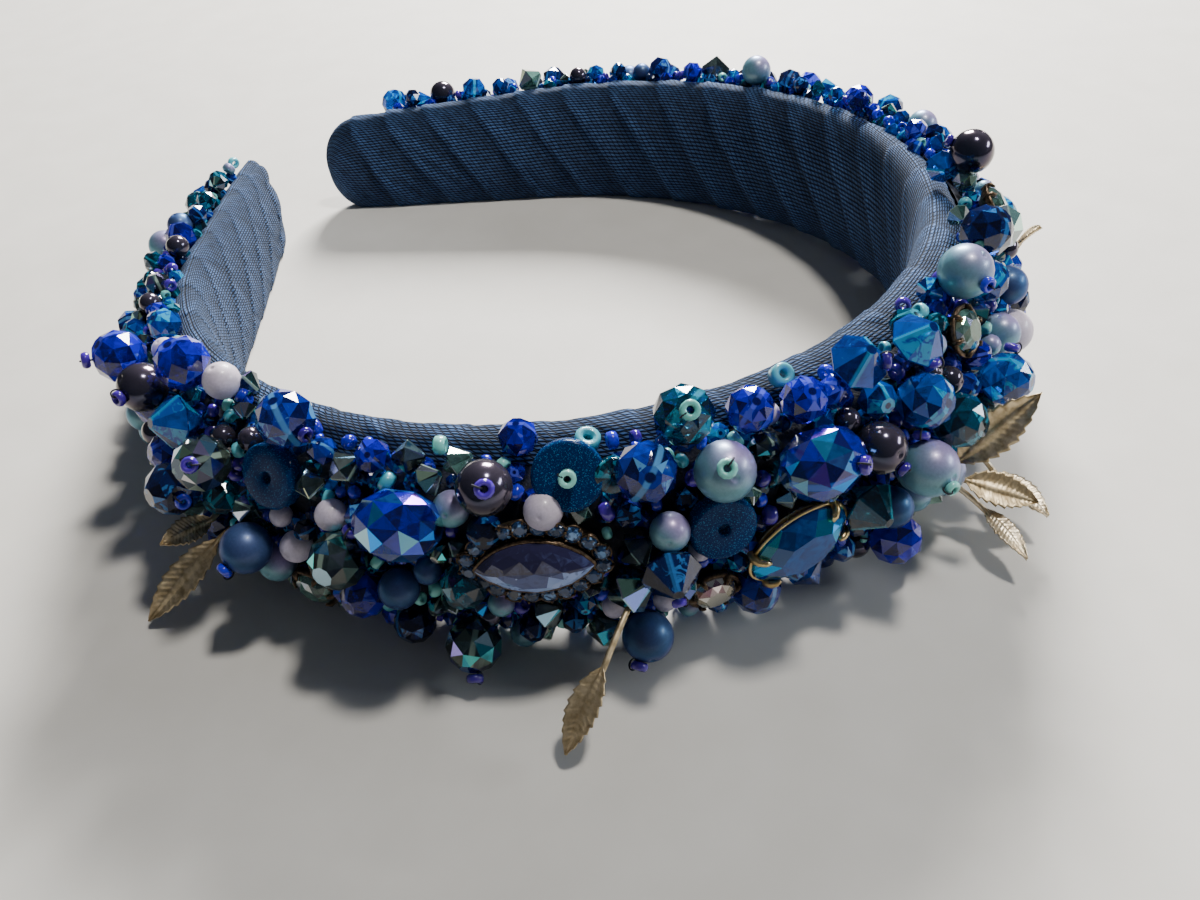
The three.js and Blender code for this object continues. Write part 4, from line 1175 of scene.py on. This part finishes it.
# Stop seeds on the main stones, each over the hole that its thread comes out of: node, pixel, size in mm,
# shape and finish.
STOPS = [
    ("cobalt_round_left", 88, 360, 2.3, "seed", "violet_seed"),
    ("graphite_pearl_left", 122, 397, 2.2, "seed", "violet_seed"),
    ("smoke_round_left", 191, 465, 2.2, "seed", "violet_seed"),
    ("ink_round_left", 182, 500, 2.2, "seed", "cobalt_seed"),
    ("night_pearl_left", 227, 568, 2.2, "seed", "cobalt_seed"),
    ("graphite_pearl_front", 484, 489, 2.4, "seed", "violet_seed"),
    ("teal_round_front", 689, 411, 2.3, "tube", "mint_seed"),
    ("mist_pearl_front", 727, 469, 2.4, "seed", "mint_seed"),
    ("teal_disc_front", 583, 475, 2.1, "tube", "mint_seed"),
    ("sky_oval_side", 861, 465, 2.4, "seed", "violet_seed"),
    ("navy_bicone_front", 680, 603, 2.0, "seed", "violet_seed"),
    ("azure_bicone_top", 893, 361, 2.3, "seed", "violet_seed"),
    ("azure_bicone_right", 942, 381, 2.3, "seed", "violet_seed"),
    ("smoke_round_low", 475, 676, 2.3, "seed", "violet_seed"),
    ("night_pearl_front", 638, 671, 2.3, "seed", "violet_seed"),
    ("mist_pearl_side", 950, 486, 2.0, "seed", "mint_seed"),
    ("sapphire_round_left", 303, 433, 2.0, "seed", "violet_seed"),
    ("blush_pearl_left", 246, 398, 2.2, "seed", "cobalt_seed"),
    ("cobalt_round_back", 990, 142, 2.2, "seed", "violet_seed"),
    ("mist_pearl_right", 985, 283, 2.2, "seed", "cobalt_seed"),
    ("azure_round_right", 1028, 262, 2.2, "seed", "violet_seed"),
    ("graphite_pearl_side", 905, 470, 2.0, "seed", "violet_seed"),
    ("azure_round_side", 905, 577, 2.2, "seed", "violet_seed"),
    ("smoke_round_front", 349, 535, 2.2, "seed", "violet_seed"),
    ("cobalt_round_low", 640, 520, 2.0, "seed", "mint_seed"),
    ("graphite_pearl_back", 880, 108, 2.0, "seed", "violet_seed"),
]
DISC_SEAT = 1.5 * MM
STOP_SINK = 0.97
STOP_LIFT = 0.28
STOP_SQUAT = 0.8
LOOP_SIZE = (1.02, 1.02, 0.85)


def stop_rows():
    """A seed on each stone where the photo shows it, resting on the stone's own surface."""
    rows = []
    for node, x, y, size, shape, finish in STOPS:
        middle, extent = node_middle(node)
        reach = sorted(extent)[1] / 2
        ray = pixel_ray(x, y).normalized()
        near = VIEW_PLACE + ray * (middle - VIEW_PLACE).dot(ray)
        miss = (near - middle).length
        if miss < reach:
            near -= ray * math.sqrt(reach ** 2 - miss ** 2)
        away = (near - middle).normalized()
        if "disc" in node:
            away = outward(middle)[1]
            reach = DISC_SEAT
        place = middle + away * (reach * STOP_SINK + STOP_LIFT * size * MM)
        rows.append((place, away, size * MM / 2, shape, finish))
    return rows


def string_groups(prefix, groups, first_seed):
    """One piece of the field for each shape and finish."""
    for i, ((shape, finish), rows) in enumerate(sorted(groups.items())):
        string_beads(f"{prefix}_{finish}_{shape}", shape, finish, rows, first_seed + i)


def dress_stops():
    groups = {}
    loops = []
    source = random.Random(5)
    for place, away, radius, shape, finish in stop_rows():
        size = (radius, radius, radius * STOP_SQUAT)
        groups.setdefault((shape, finish), []).append((place, away, size, source.random()))
        loops.append((place, away, tuple(radius * share for share in LOOP_SIZE), MIDDLE_TONE))
    string_groups("stops", groups, 200)
    string_beads("stop_threads", "loop", "thread", loops, 300)


def pick(source, rows):
    mark = source.uniform(0, sum(row[-1] for row in rows))
    for row in rows:
        mark -= row[-1]
        if mark <= 0:
            return row
    return rows[-1]


def kind_for(source, size_high, under):
    if under:
        return "fire", source.choice(UNDER_KINDS)
    if size_high > SEED_LARGEST:
        return pick(source, FILL_KINDS)[:2]
    return "seed", pick(source, SEED_KINDS)[0]


def lay_seen(taken):
    """The beads that the photo shows, where no main stone covers them. Adds the room that they take."""
    beads = []
    for x, y, size, shape, finish in BEADS_SEEN:
        radius = size * MM / 2
        place = seen_at(x, y, radius * SEEN_SINK)
        if place is None:
            continue
        buried = any((place - spot).length < BURIED_SHARE * (radius + reach) for spot, reach in taken)
        if buried and shape != "seed":
            continue
        beads.append((place, radius, shape, finish))
        taken.append((place, radius))
    return beads


def lay_beads(taken):
    """All loose beads: those seen in the photo first, then ever smaller ones in the room left."""
    source = random.Random(11)
    beads = lay_seen(taken)
    spots = np.array([list(spot) for spot, _ in taken])
    reaches = np.array([reach for _, reach in taken])
    for size_low, size_high, tries, squeeze in LAYERS:
        under = squeeze > UNDER_SQUEEZE
        front_top = FRONT_TOP if size_high > SEED_LARGEST else FRONT_SEED_TOP
        for _ in range(tries):
            along = source.uniform(END_MARGIN - BED_END, BED_END - END_MARGIN)
            share = abs(along) / HALF_LENGTH
            radius = source.uniform(size_low, size_high) * MM / 2 * (1 - TIP_SHRINK * share)
            top = front_top if FRONT_FROM < along < FRONT_TO else BACK_TOP
            across = source.uniform(-lower_reach_at(along), top)
            lift = radius * (UNDER_LIFT if under else source.uniform(LEAST_LIFT, MOST_LIFT))
            place = to_part(bed_place(along, across, lift - bed_drop(along, across))[0])
            if place.z < radius + FLOOR_GAP:
                continue
            gaps = np.linalg.norm(spots - np.array(place), axis=1) - reaches - radius
            if gaps.min() < -squeeze * radius:
                continue
            beads.append((place, radius, *kind_for(source, size_high, under)))
            spots = np.vstack([spots, list(place)])
            reaches = np.append(reaches, radius)
    return beads


def dress_beads(beads):
    source = random.Random(23)
    groups = {}
    for place, radius, shape, finish in beads:
        if shape == "round" and radius < LARGEST_FIRE:
            shape = "fire"
        _, normal = outward(place)
        run = run_direction(normal)
        side = normal.cross(run)
        if shape in ("bicone", "seed"):
            turn = source.uniform(-LYING_TURN, LYING_TURN)
            axis = run * math.cos(turn) + side * math.sin(turn) + normal * source.uniform(-LEAN, MOST_RISE)
        else:
            axis = normal + run * source.uniform(-LEAN, LEAN) + side * source.uniform(-LEAN, LEAN)
        size = (radius, radius, radius * (TUBE_SQUAT if shape == "tube" else 1))
        groups.setdefault((shape, finish), []).append((place, axis.normalized(), size, source.random()))
    string_groups("beads", groups, 100)


# Settings

MARQUISE_SEAT = (-46.5, 9)
MARQUISE_LENGTH = 14 * MM
MARQUISE_WIDTH = 7.3 * MM
MARQUISE_DEPTH = 3.4 * MM
MARQUISE_CROWN = ((-3.3, 0.3), (-1.6, -0.2), (0.2, 0.5), (1.8, -0.1), (3.4, 0.3))
# Direction from which the marquise's facets get painted light.
MARQUISE_LIT_SIDE = Vector((0.1, -0.9, 0.3))
HALO_PLATE = 1.2 * MM
HALO_STONE = 1.08 * MM
HALO_OFFSET = 1.3 * MM
HALO_COUNT = 20
HALO_WALK = 720
HALO_SWAY = 0.2
HALO_RISE = 0.55
MARQUISE_GIRDLE = HALO_PLATE + MARQUISE_DEPTH * 0.42
CLAW_SEAT = (-21.5, -10, 0.35)
CLAW_LENGTH = 13.5 * MM
CLAW_WIDTH = 8.8 * MM
CLAW_DEPTH = 4.6 * MM
CLAW_TURN = 0.62
CLAW_RADII = [value * MM for value in (0.4, 0.5, 0.58, 0.55, 0.45, 0.25)]
CUP_STONE = 2.9 * MM
CUP_HEIGHT = 2.6 * MM
SEAT_SHARE = 0.72
# How the painted light on a set stone's facets grows as they face the lit direction, and how much of the
# random share stays.
LIT_FROM = 0.2
LIT_RANGE = 0.32
LIT_SHARE = 0.8
UNLIT_SHARE = 0.3
NO_HOLE = 2.0


def seat(along, across, turn=0.0):
    """A place on the bed as a matrix: X along the band, Y across it and Z straight out."""
    place, facing, run = bed_place(along * MM, math.radians(across), GAP)
    out = (LYING @ facing).normalized()
    ahead = LYING @ run
    ahead = (ahead - out * ahead.dot(out)).normalized()
    turned = ahead * math.cos(turn) + out.cross(ahead) * math.sin(turn)
    sides = Matrix((turned, out.cross(turned), out)).transposed()
    return Matrix.Translation(to_part(place)) @ sides.to_4x4()


def settle(shape, matrix, name, finish, node, seed=1, lit=None):
    """Take a shape's mesh to its seat as one piece, with its finish, that stands for the node; with a lit
    direction, the facets facing it get painted light.
    """
    mesh = shape.data.copy()
    mesh.transform(matrix)
    mesh.name = name
    mesh.materials.clear()
    mesh.materials.append(FINISHES[finish])
    facet_shades(mesh, seed)
    if "local" in mesh.attributes:
        mesh.attributes.remove(mesh.attributes["local"])
    keep_on_points(mesh, "local", "FLOAT_VECTOR", "vector", [NO_HOLE] * (3 * len(mesh.vertices)))
    # Painted light: facets facing the lit direction get a higher share of light in the glass.
    if lit is not None:
        shades = mesh.attributes["facet"]
        for face in mesh.polygons:
            glow = max(0.0, min(1.0, (face.normal.dot(lit) - LIT_FROM) / LIT_RANGE))
            shade = shades.data[face.index]
            shade.value = UNLIT_SHARE * shade.value + LIT_SHARE * glow
    keep_on_points(mesh, "tone", "FLOAT", "value", [MIDDLE_TONE] * len(mesh.vertices))
    piece = show(name, mesh)
    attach(piece, "root")
    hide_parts(node)


def marquise_point(angle, margin=0.0, scale=1.0, height=0.0):
    """Point of the pointed-oval outline in a direction, moved out by a margin."""
    half = MARQUISE_LENGTH / 2
    half_width = MARQUISE_WIDTH / 2
    radius = (half ** 2 + half_width ** 2) / (2 * half_width)
    x = half * math.cos(angle)
    y = math.sqrt(radius ** 2 - x ** 2) - (radius - half_width)
    y = math.copysign(y, math.sin(angle))
    return Vector((x * scale + margin * math.cos(angle), y * scale + margin * math.sin(angle), height))


def marquise_ring(count, turn, margin, scale, height):
    return [marquise_point(math.tau * (i + turn) / count, margin, scale, height) for i in range(count)]


def marquise_stone():
    top = HALO_PLATE + MARQUISE_DEPTH
    rows = ((20, 0, 0, 1, MARQUISE_GIRDLE), (20, 0, 0, 0.99, MARQUISE_GIRDLE + 0.25 * MM),
            (14, 0.5, 0, 0.84, MARQUISE_GIRDLE + 0.9 * MM), (10, 0, 0, 0.6, top - 0.5 * MM))
    points = [point for row in rows for point in marquise_ring(*row)]
    points += [Vector((x * MM, y * MM, top - abs(x) * 0.09 * MM)) for x, y in MARQUISE_CROWN]
    points += marquise_ring(10, 0.5, 0, 0.55, HALO_PLATE * 0.6)
    return hull_shape("marquise_stone", points)


def joined(name, shapes, placed=()):
    """Several shapes as one; those that need a place of their own come as (shape, matrix)."""
    work = bmesh.new()
    for shape, matrix in [*placed, *((shape, Matrix()) for shape in shapes)]:
        part = shape.data.copy()
        part.transform(matrix)
        work.from_mesh(part)
    mesh = bpy.data.meshes.new(name)
    work.to_mesh(mesh)
    work.free()
    return bpy.data.objects.new(name, mesh)


def tube(path, radii, sides=8):
    """Round rod along the points, its ends closed, with a radius for each point."""
    rings = []
    side = (path[1] - path[0]).normalized().orthogonal().normalized()
    for i, point in enumerate(path):
        ahead = (path[min(i + 1, len(path) - 1)] - path[max(i - 1, 0)]).normalized()
        side = (side - ahead * side.dot(ahead)).normalized()
        rings.append(circle(point, side, ahead.cross(side), radii[i], sides))
    return swept("tube", rings, closed=False)


def outline_rim(points, radius):
    """Round wire laid along a closed outline."""
    rings = []
    for i, point in enumerate(points):
        ahead = (points[(i + 1) % len(points)] - points[i - 1]).normalized()
        rings.append(circle(point, ahead.cross(Z_AXIS), Z_AXIS, radius, 8))
    return swept("rim", rings)


GRIP_REACH = 1.1


def grips(count, turn, steps, radii, sides):
    """Small claws round a stone of unit radius: steps are (share of the way out, height)."""
    shapes = []
    for i in range(count):
        angle = math.tau * (i + turn) / count
        root = Vector((math.cos(angle), math.sin(angle), 0)) * GRIP_REACH
        shapes.append(tube([root * share + Vector((0, 0, height)) for share, height in steps], radii, sides))
    return shapes


CHATON_STEPS = ((1, -0.1), (1, 0.2), (0.86, 0.36), (0.72, 0.36))
CHATON_RADII = (0.16, 0.17, 0.16, 0.1)
CHATON_CUP = joined("chaton_cup", [turned_shape("cup", CHATON_PROFILE, 16)]
                    + grips(4, 0.5, CHATON_STEPS, CHATON_RADII, 6))


def halo_places():
    """Places of the small stones, evenly spread along the marquise's outline, each leaning a little."""
    walk = [marquise_point(math.tau * i / HALO_WALK, HALO_OFFSET) for i in range(HALO_WALK)]
    lengths = [0.0]
    for first, second in zip(walk, walk[1:]):
        lengths.append(lengths[-1] + (second - first).length)
    places = []
    for i in range(HALO_COUNT):
        mark = lengths[-1] * (i + 0.5) / HALO_COUNT
        point = walk[next(k for k, done in enumerate(lengths) if done >= mark)]
        sway = HALO_SWAY * math.sin(i * 2.3)
        place = Matrix.Translation(point + Vector((0, 0, HALO_PLATE + (HALO_RISE + 0.15 * sway) * MM)))
        lean = Matrix.Rotation(sway, 4, "X") @ Matrix.Rotation(i * 0.7, 4, "Z")
        places.append(place @ lean @ Matrix.Scale(HALO_STONE, 4))
    return places


def build_marquise():
    base = seat(*MARQUISE_SEAT)
    # The marquise's facets facing this side get painted light.
    lit = (base.to_3x3() @ MARQUISE_LIT_SIDE).normalized()
    settle(marquise_stone(), base, "marquise_cut_stone", "violet_stone", "marquise_halo", 5, lit)
    places = halo_places()
    stones = joined("halo_stones", [], [(SHAPES["brilliant"], place) for place in places])
    settle(stones, base, "halo_stones", "steel_stone", "marquise_halo", 8)
    rim = outline_rim(marquise_ring(60, 0.5, 0.05 * MM, 1, MARQUISE_GIRDLE), 0.2 * MM)
    wall = swept("wall", [marquise_ring(40, 0.5, 0.1 * MM, 0.9, 0.3 * MM),
                          marquise_ring(40, 0.5, 0.12 * MM, 1, MARQUISE_GIRDLE)], closed=False)
    plate_rings = [marquise_ring(40, 0.5, 1.55 * MM, 1, height) for height in (0.1 * MM, 0.75 * MM)]
    plate = swept("plate", plate_rings, closed=False, smooth=False)
    metal = joined("marquise_metal", [rim, wall, plate], [(CHATON_CUP, place) for place in places])
    settle(metal, base, "marquise_setting", "bronze", "marquise_halo")


def oval_point(angle, scale, height, grow=0.0):
    return Vector(((CLAW_LENGTH / 2 * scale + grow) * math.cos(angle),
                   (CLAW_WIDTH / 2 * scale + grow) * math.sin(angle), height))


def oval_ring(scale, height, count=16, turn=0.5, grow=0.0):
    return [oval_point(math.tau * (i + turn) / count, scale, height, grow) for i in range(count)]


def build_claw_oval():
    base = seat(*CLAW_SEAT)
    girdle = CLAW_DEPTH * 0.5
    rows = ((1, girdle), (0.99, girdle + 0.3 * MM), (0.84, girdle + 1.15 * MM, 12, 0), (0.58, CLAW_DEPTH, 8),
            (0.72, girdle - 1.1 * MM, 12, 0), (0.4, 0.5 * MM, 8))
    points = [point for row in rows for point in oval_ring(*row)]
    settle(hull_shape("claw_stone", points), base, "claw_oval_stone", "sea_stone", "claw_oval", 3)
    wall = [oval_ring(0.66, 0.1 * MM, 40), oval_ring(0.98, girdle - 0.2 * MM, 40)]
    shapes = [outline_rim(oval_ring(1, girdle - 0.15 * MM, 72, 0, 0.15 * MM), 0.24 * MM),
              outline_rim(oval_ring(0.8, 0.7 * MM, 60), 0.32 * MM), swept("gallery", wall, closed=False)]
    steps = ((0.85, 0.2 * MM), (1.03, girdle * 0.6), (1.06, girdle + 0.2 * MM), (1.0, girdle + 0.95 * MM),
             (0.9, girdle + 1.4 * MM), (0.8, girdle + 1.62 * MM))
    for angle in (CLAW_TURN, math.pi - CLAW_TURN, math.pi + CLAW_TURN, -CLAW_TURN):
        shapes.append(tube([oval_point(angle, *step) for step in steps], CLAW_RADII))
    settle(joined("claw_metal", shapes), base, "claw_oval_setting", "gold", "claw_oval")


# Cups: node, place on the bed, how far the cup stands off it in mm, and the stone's finish.
CUPS = [
    ("clear_stone_cup", -30, -28, 0, "silver_stone"),
    ("mint_stone_cup_right", 4.5, 42, 0.1, "mint"),
    ("mint_stone_cup_back", 31, 52, 0, "mint"),
    ("mint_stone_cup_left", -72, -30, 0, "mint"),
]
CUP_STEPS = ((0.9, -0.3), (1, 0), (0.98, 0.2), (0.8, 0.36))
CUP_RADII = (0.1, 0.14, 0.13, 0.05)


def build_cups():
    metal = joined("cup_metal", [turned_shape("cup", CUP_PROFILE, 28)]
                   + grips(6, 0, CUP_STEPS, CUP_RADII, 8))
    for i, (node, along, across, stand, stone) in enumerate(CUPS):
        lift = Matrix.Translation((0, 0, stand * MM + CUP_HEIGHT * SEAT_SHARE))
        base = seat(along, across) @ lift @ Matrix.Scale(CUP_STONE, 4)
        settle(SHAPES["brilliant"], base, node + "_stone", stone, node, 40 + i)
        settle(metal, base, node + "_setting", "bronze", node)


# Leaves: place on the bed, root and tip as (out, along, up) in mm, width in mm, roll in degrees and finish.
LEAVES = [
    ("leaf_left_long", -83, -12, (3, -1.2, -1.2), (14.2, -6, -10), 4.6, 35, "leaf"),
    ("leaf_left_short", -85, -5, (2.6, 0.8, 0), (9.6, -0.4, 0.1), 3.8, 30, "leaf"),
    ("leaf_front", -36.5, -14, (9, -6.9, -4.4), (14, -12.9, -12.3), 4.2, 0, "leaf"),
    ("leaf_right_upper", 0.5, -22, (4, -1.2, 1.6), (11.3, 3.7, 12.6), 5.6, -58, "leaf"),
    ("leaf_right_middle", 3, -29, (4, -0.5, -2.9), (13, 3, -5.3), 5, -32, "leaf"),
    ("leaf_right_pale", 6, -24, (6, 1, -6), (14.2, -0.8, -8.8), 4.4, 0, "pale_leaf"),
    ("leaf_right_lower", 1, -36, (8, 1.8, -4.7), (16, -2, -6.6), 3.2, 0, "pale_leaf"),
    ("leaf_right_back", 36, 4, (3.5, 0.5, 1.5), (6.4, -1, 5.6), 4, 0, "leaf"),
]
LEAF_STATIONS = 61
LEAF_ACROSS = 12
LEAF_TEETH = 9
LEAF_VEINS = 16
LEAF_THICK = 0.28 * MM
LEAF_POINT = 0.12 * MM
VEIN_HEIGHT = 0.09 * MM
RIB_HEIGHT = 0.34 * MM
WIRE_STEPS = 15
WIRE_RADII = [0.4 * MM] * WIRE_STEPS + [0.38 * MM, 0.33 * MM, 0.2 * MM]
WIRE_SAG = 0.06
WIRE_ENDS = (0.04, 0.1, 0.2)
BLADE_BOW = 0.06
BLADE_CUP = 0.11
EDGE_FORWARD = 0.035
RIB_SHARE = 0.12
TOOTH_DEPTH = 0.2


def blade_row(root, run, side, up, width, share):
    """Points across the blade's upper face at a share of its length."""
    tooth = (share * LEAF_TEETH) % 1
    serrated = 0.86 + TOOTH_DEPTH * tooth if 0.08 < share < 0.93 else 0.9
    half = max(LEAF_POINT, width / 2 * math.sin(math.pi * share ** 0.8) ** 0.85 * serrated)
    bow = -BLADE_BOW * run.length * math.sin(math.pi * share)
    row = []
    for k in range(LEAF_ACROSS + 1):
        across = 2 * k / LEAF_ACROSS - 1
        away = abs(across)
        vein = math.cos(math.tau * (share * LEAF_VEINS - away * 1.6))
        relief = VEIN_HEIGHT * vein * min(1, away * 3) * (1 - away ** 4)
        rib = RIB_HEIGHT * math.exp(-(away / RIB_SHARE) ** 2)
        cup = BLADE_CUP * width * away ** 1.6
        forward = EDGE_FORWARD * run.length * away * (1 if 0 < share < 0.97 else 0)
        place = root + run * share + run.normalized() * forward * math.sin(math.pi * share)
        row.append(place + side * across * half + up * (relief + rib + cup - bow))
    return row


def leaf_shape(base, root, tip, width, roll):
    """Stamped blade with teeth, a sunk midrib line and slanting veins, and the wire that carries it."""
    run = tip - root
    level = run.cross(Z_AXIS).normalized()
    above = level.cross(run).normalized()
    side = level * math.cos(roll) + above * math.sin(roll)
    up = above * math.cos(roll) - level * math.sin(roll)
    rings = []
    for i in range(LEAF_STATIONS):
        row = blade_row(root, run, side, up, width, i / (LEAF_STATIONS - 1))
        rings.append(row + [point - up * LEAF_THICK for point in reversed(row)])
    path = []
    for i in range(WIRE_STEPS):
        share = i / (WIRE_STEPS - 1)
        sag = math.sin(math.pi * share) * WIRE_SAG * (root - base).length
        path.append(base.lerp(root, share) + Vector((0, 0, sag)))
    path += [root + run * share for share in WIRE_ENDS]
    return joined("leaf", [swept("blade", rings, closed=False), tube(path, WIRE_RADII, 10)])


def build_leaves():
    for i, (node, along, across, root, tip, width, roll, finish) in enumerate(LEAVES):
        place, _, run = bed_place(along * MM, math.radians(across), GAP)
        _, out, _ = plan_at(along * MM)

        def reach(steps):
            outwards, sideways, upwards = (value * MM for value in steps)
            return to_part(place + out * outwards + run * sideways + Vector((0, 0, upwards)))

        shape = leaf_shape(to_part(place), reach(root), reach(tip), width * MM, math.radians(roll))
        settle(shape, Matrix(), node + "_blade", finish, node, 60 + i)


# Floor and light

FLOOR_HALF = 3.0
ROOM_COLOR = (0.72, 0.8, 0.95, 1)
ROOM_STRENGTH = 0.125
LIGHT_TARGET = Vector((0, 0, 0.02))

# Windows: name, place and size in metres, power in watts and colour.
LIGHTS = [
    ("window", (0.5, 0.35, 0.4), (0.22, 0.22), 21.5, (1.0, 0.98, 0.95)),
    ("side_window", (0.48, -0.5, 0.3), (0.3, 0.1), 2.6, (0.85, 0.92, 1.0)),
    ("sun_patch", (0.15, -0.15, 0.75), (0.08, 0.08), 4.5, (1.0, 0.97, 0.92)),
]


def add_floor():
    corners = [(x * FLOOR_HALF, y * FLOOR_HALF, 0) for x, y in ((-1, -1), (1, -1), (1, 1), (-1, 1))]
    floor = mesh_object("floor", corners, [(0, 1, 2, 3)])
    floor.data.materials.append(FINISHES["floor"])


def add_lights():
    world = bpy.data.worlds.new("soft_room")
    world.use_nodes = True
    background = world.node_tree.nodes["Background"]
    background.inputs["Color"].default_value = ROOM_COLOR
    background.inputs["Strength"].default_value = ROOM_STRENGTH
    bpy.context.scene.world = world
    for name, place, size, power, color in LIGHTS:
        data = bpy.data.lights.new(name, "AREA")
        data.shape = "RECTANGLE"
        data.size, data.size_y = size
        data.energy = power
        data.color = color
        aim = (LIGHT_TARGET - Vector(place)).to_track_quat("-Z", "Y")
        show(name, data).matrix_world = Matrix.Translation(place) @ aim.to_matrix().to_4x4()


build_band()
build_ground("ground_left", -1, "bead_field_left")
build_ground("ground_right", 1, "bead_field_right")
dress_beads(lay_beads(dress_stones()))
dress_stops()
build_marquise()
build_claw_oval()
build_cups()
build_leaves()
add_floor()
add_camera()
add_lights()
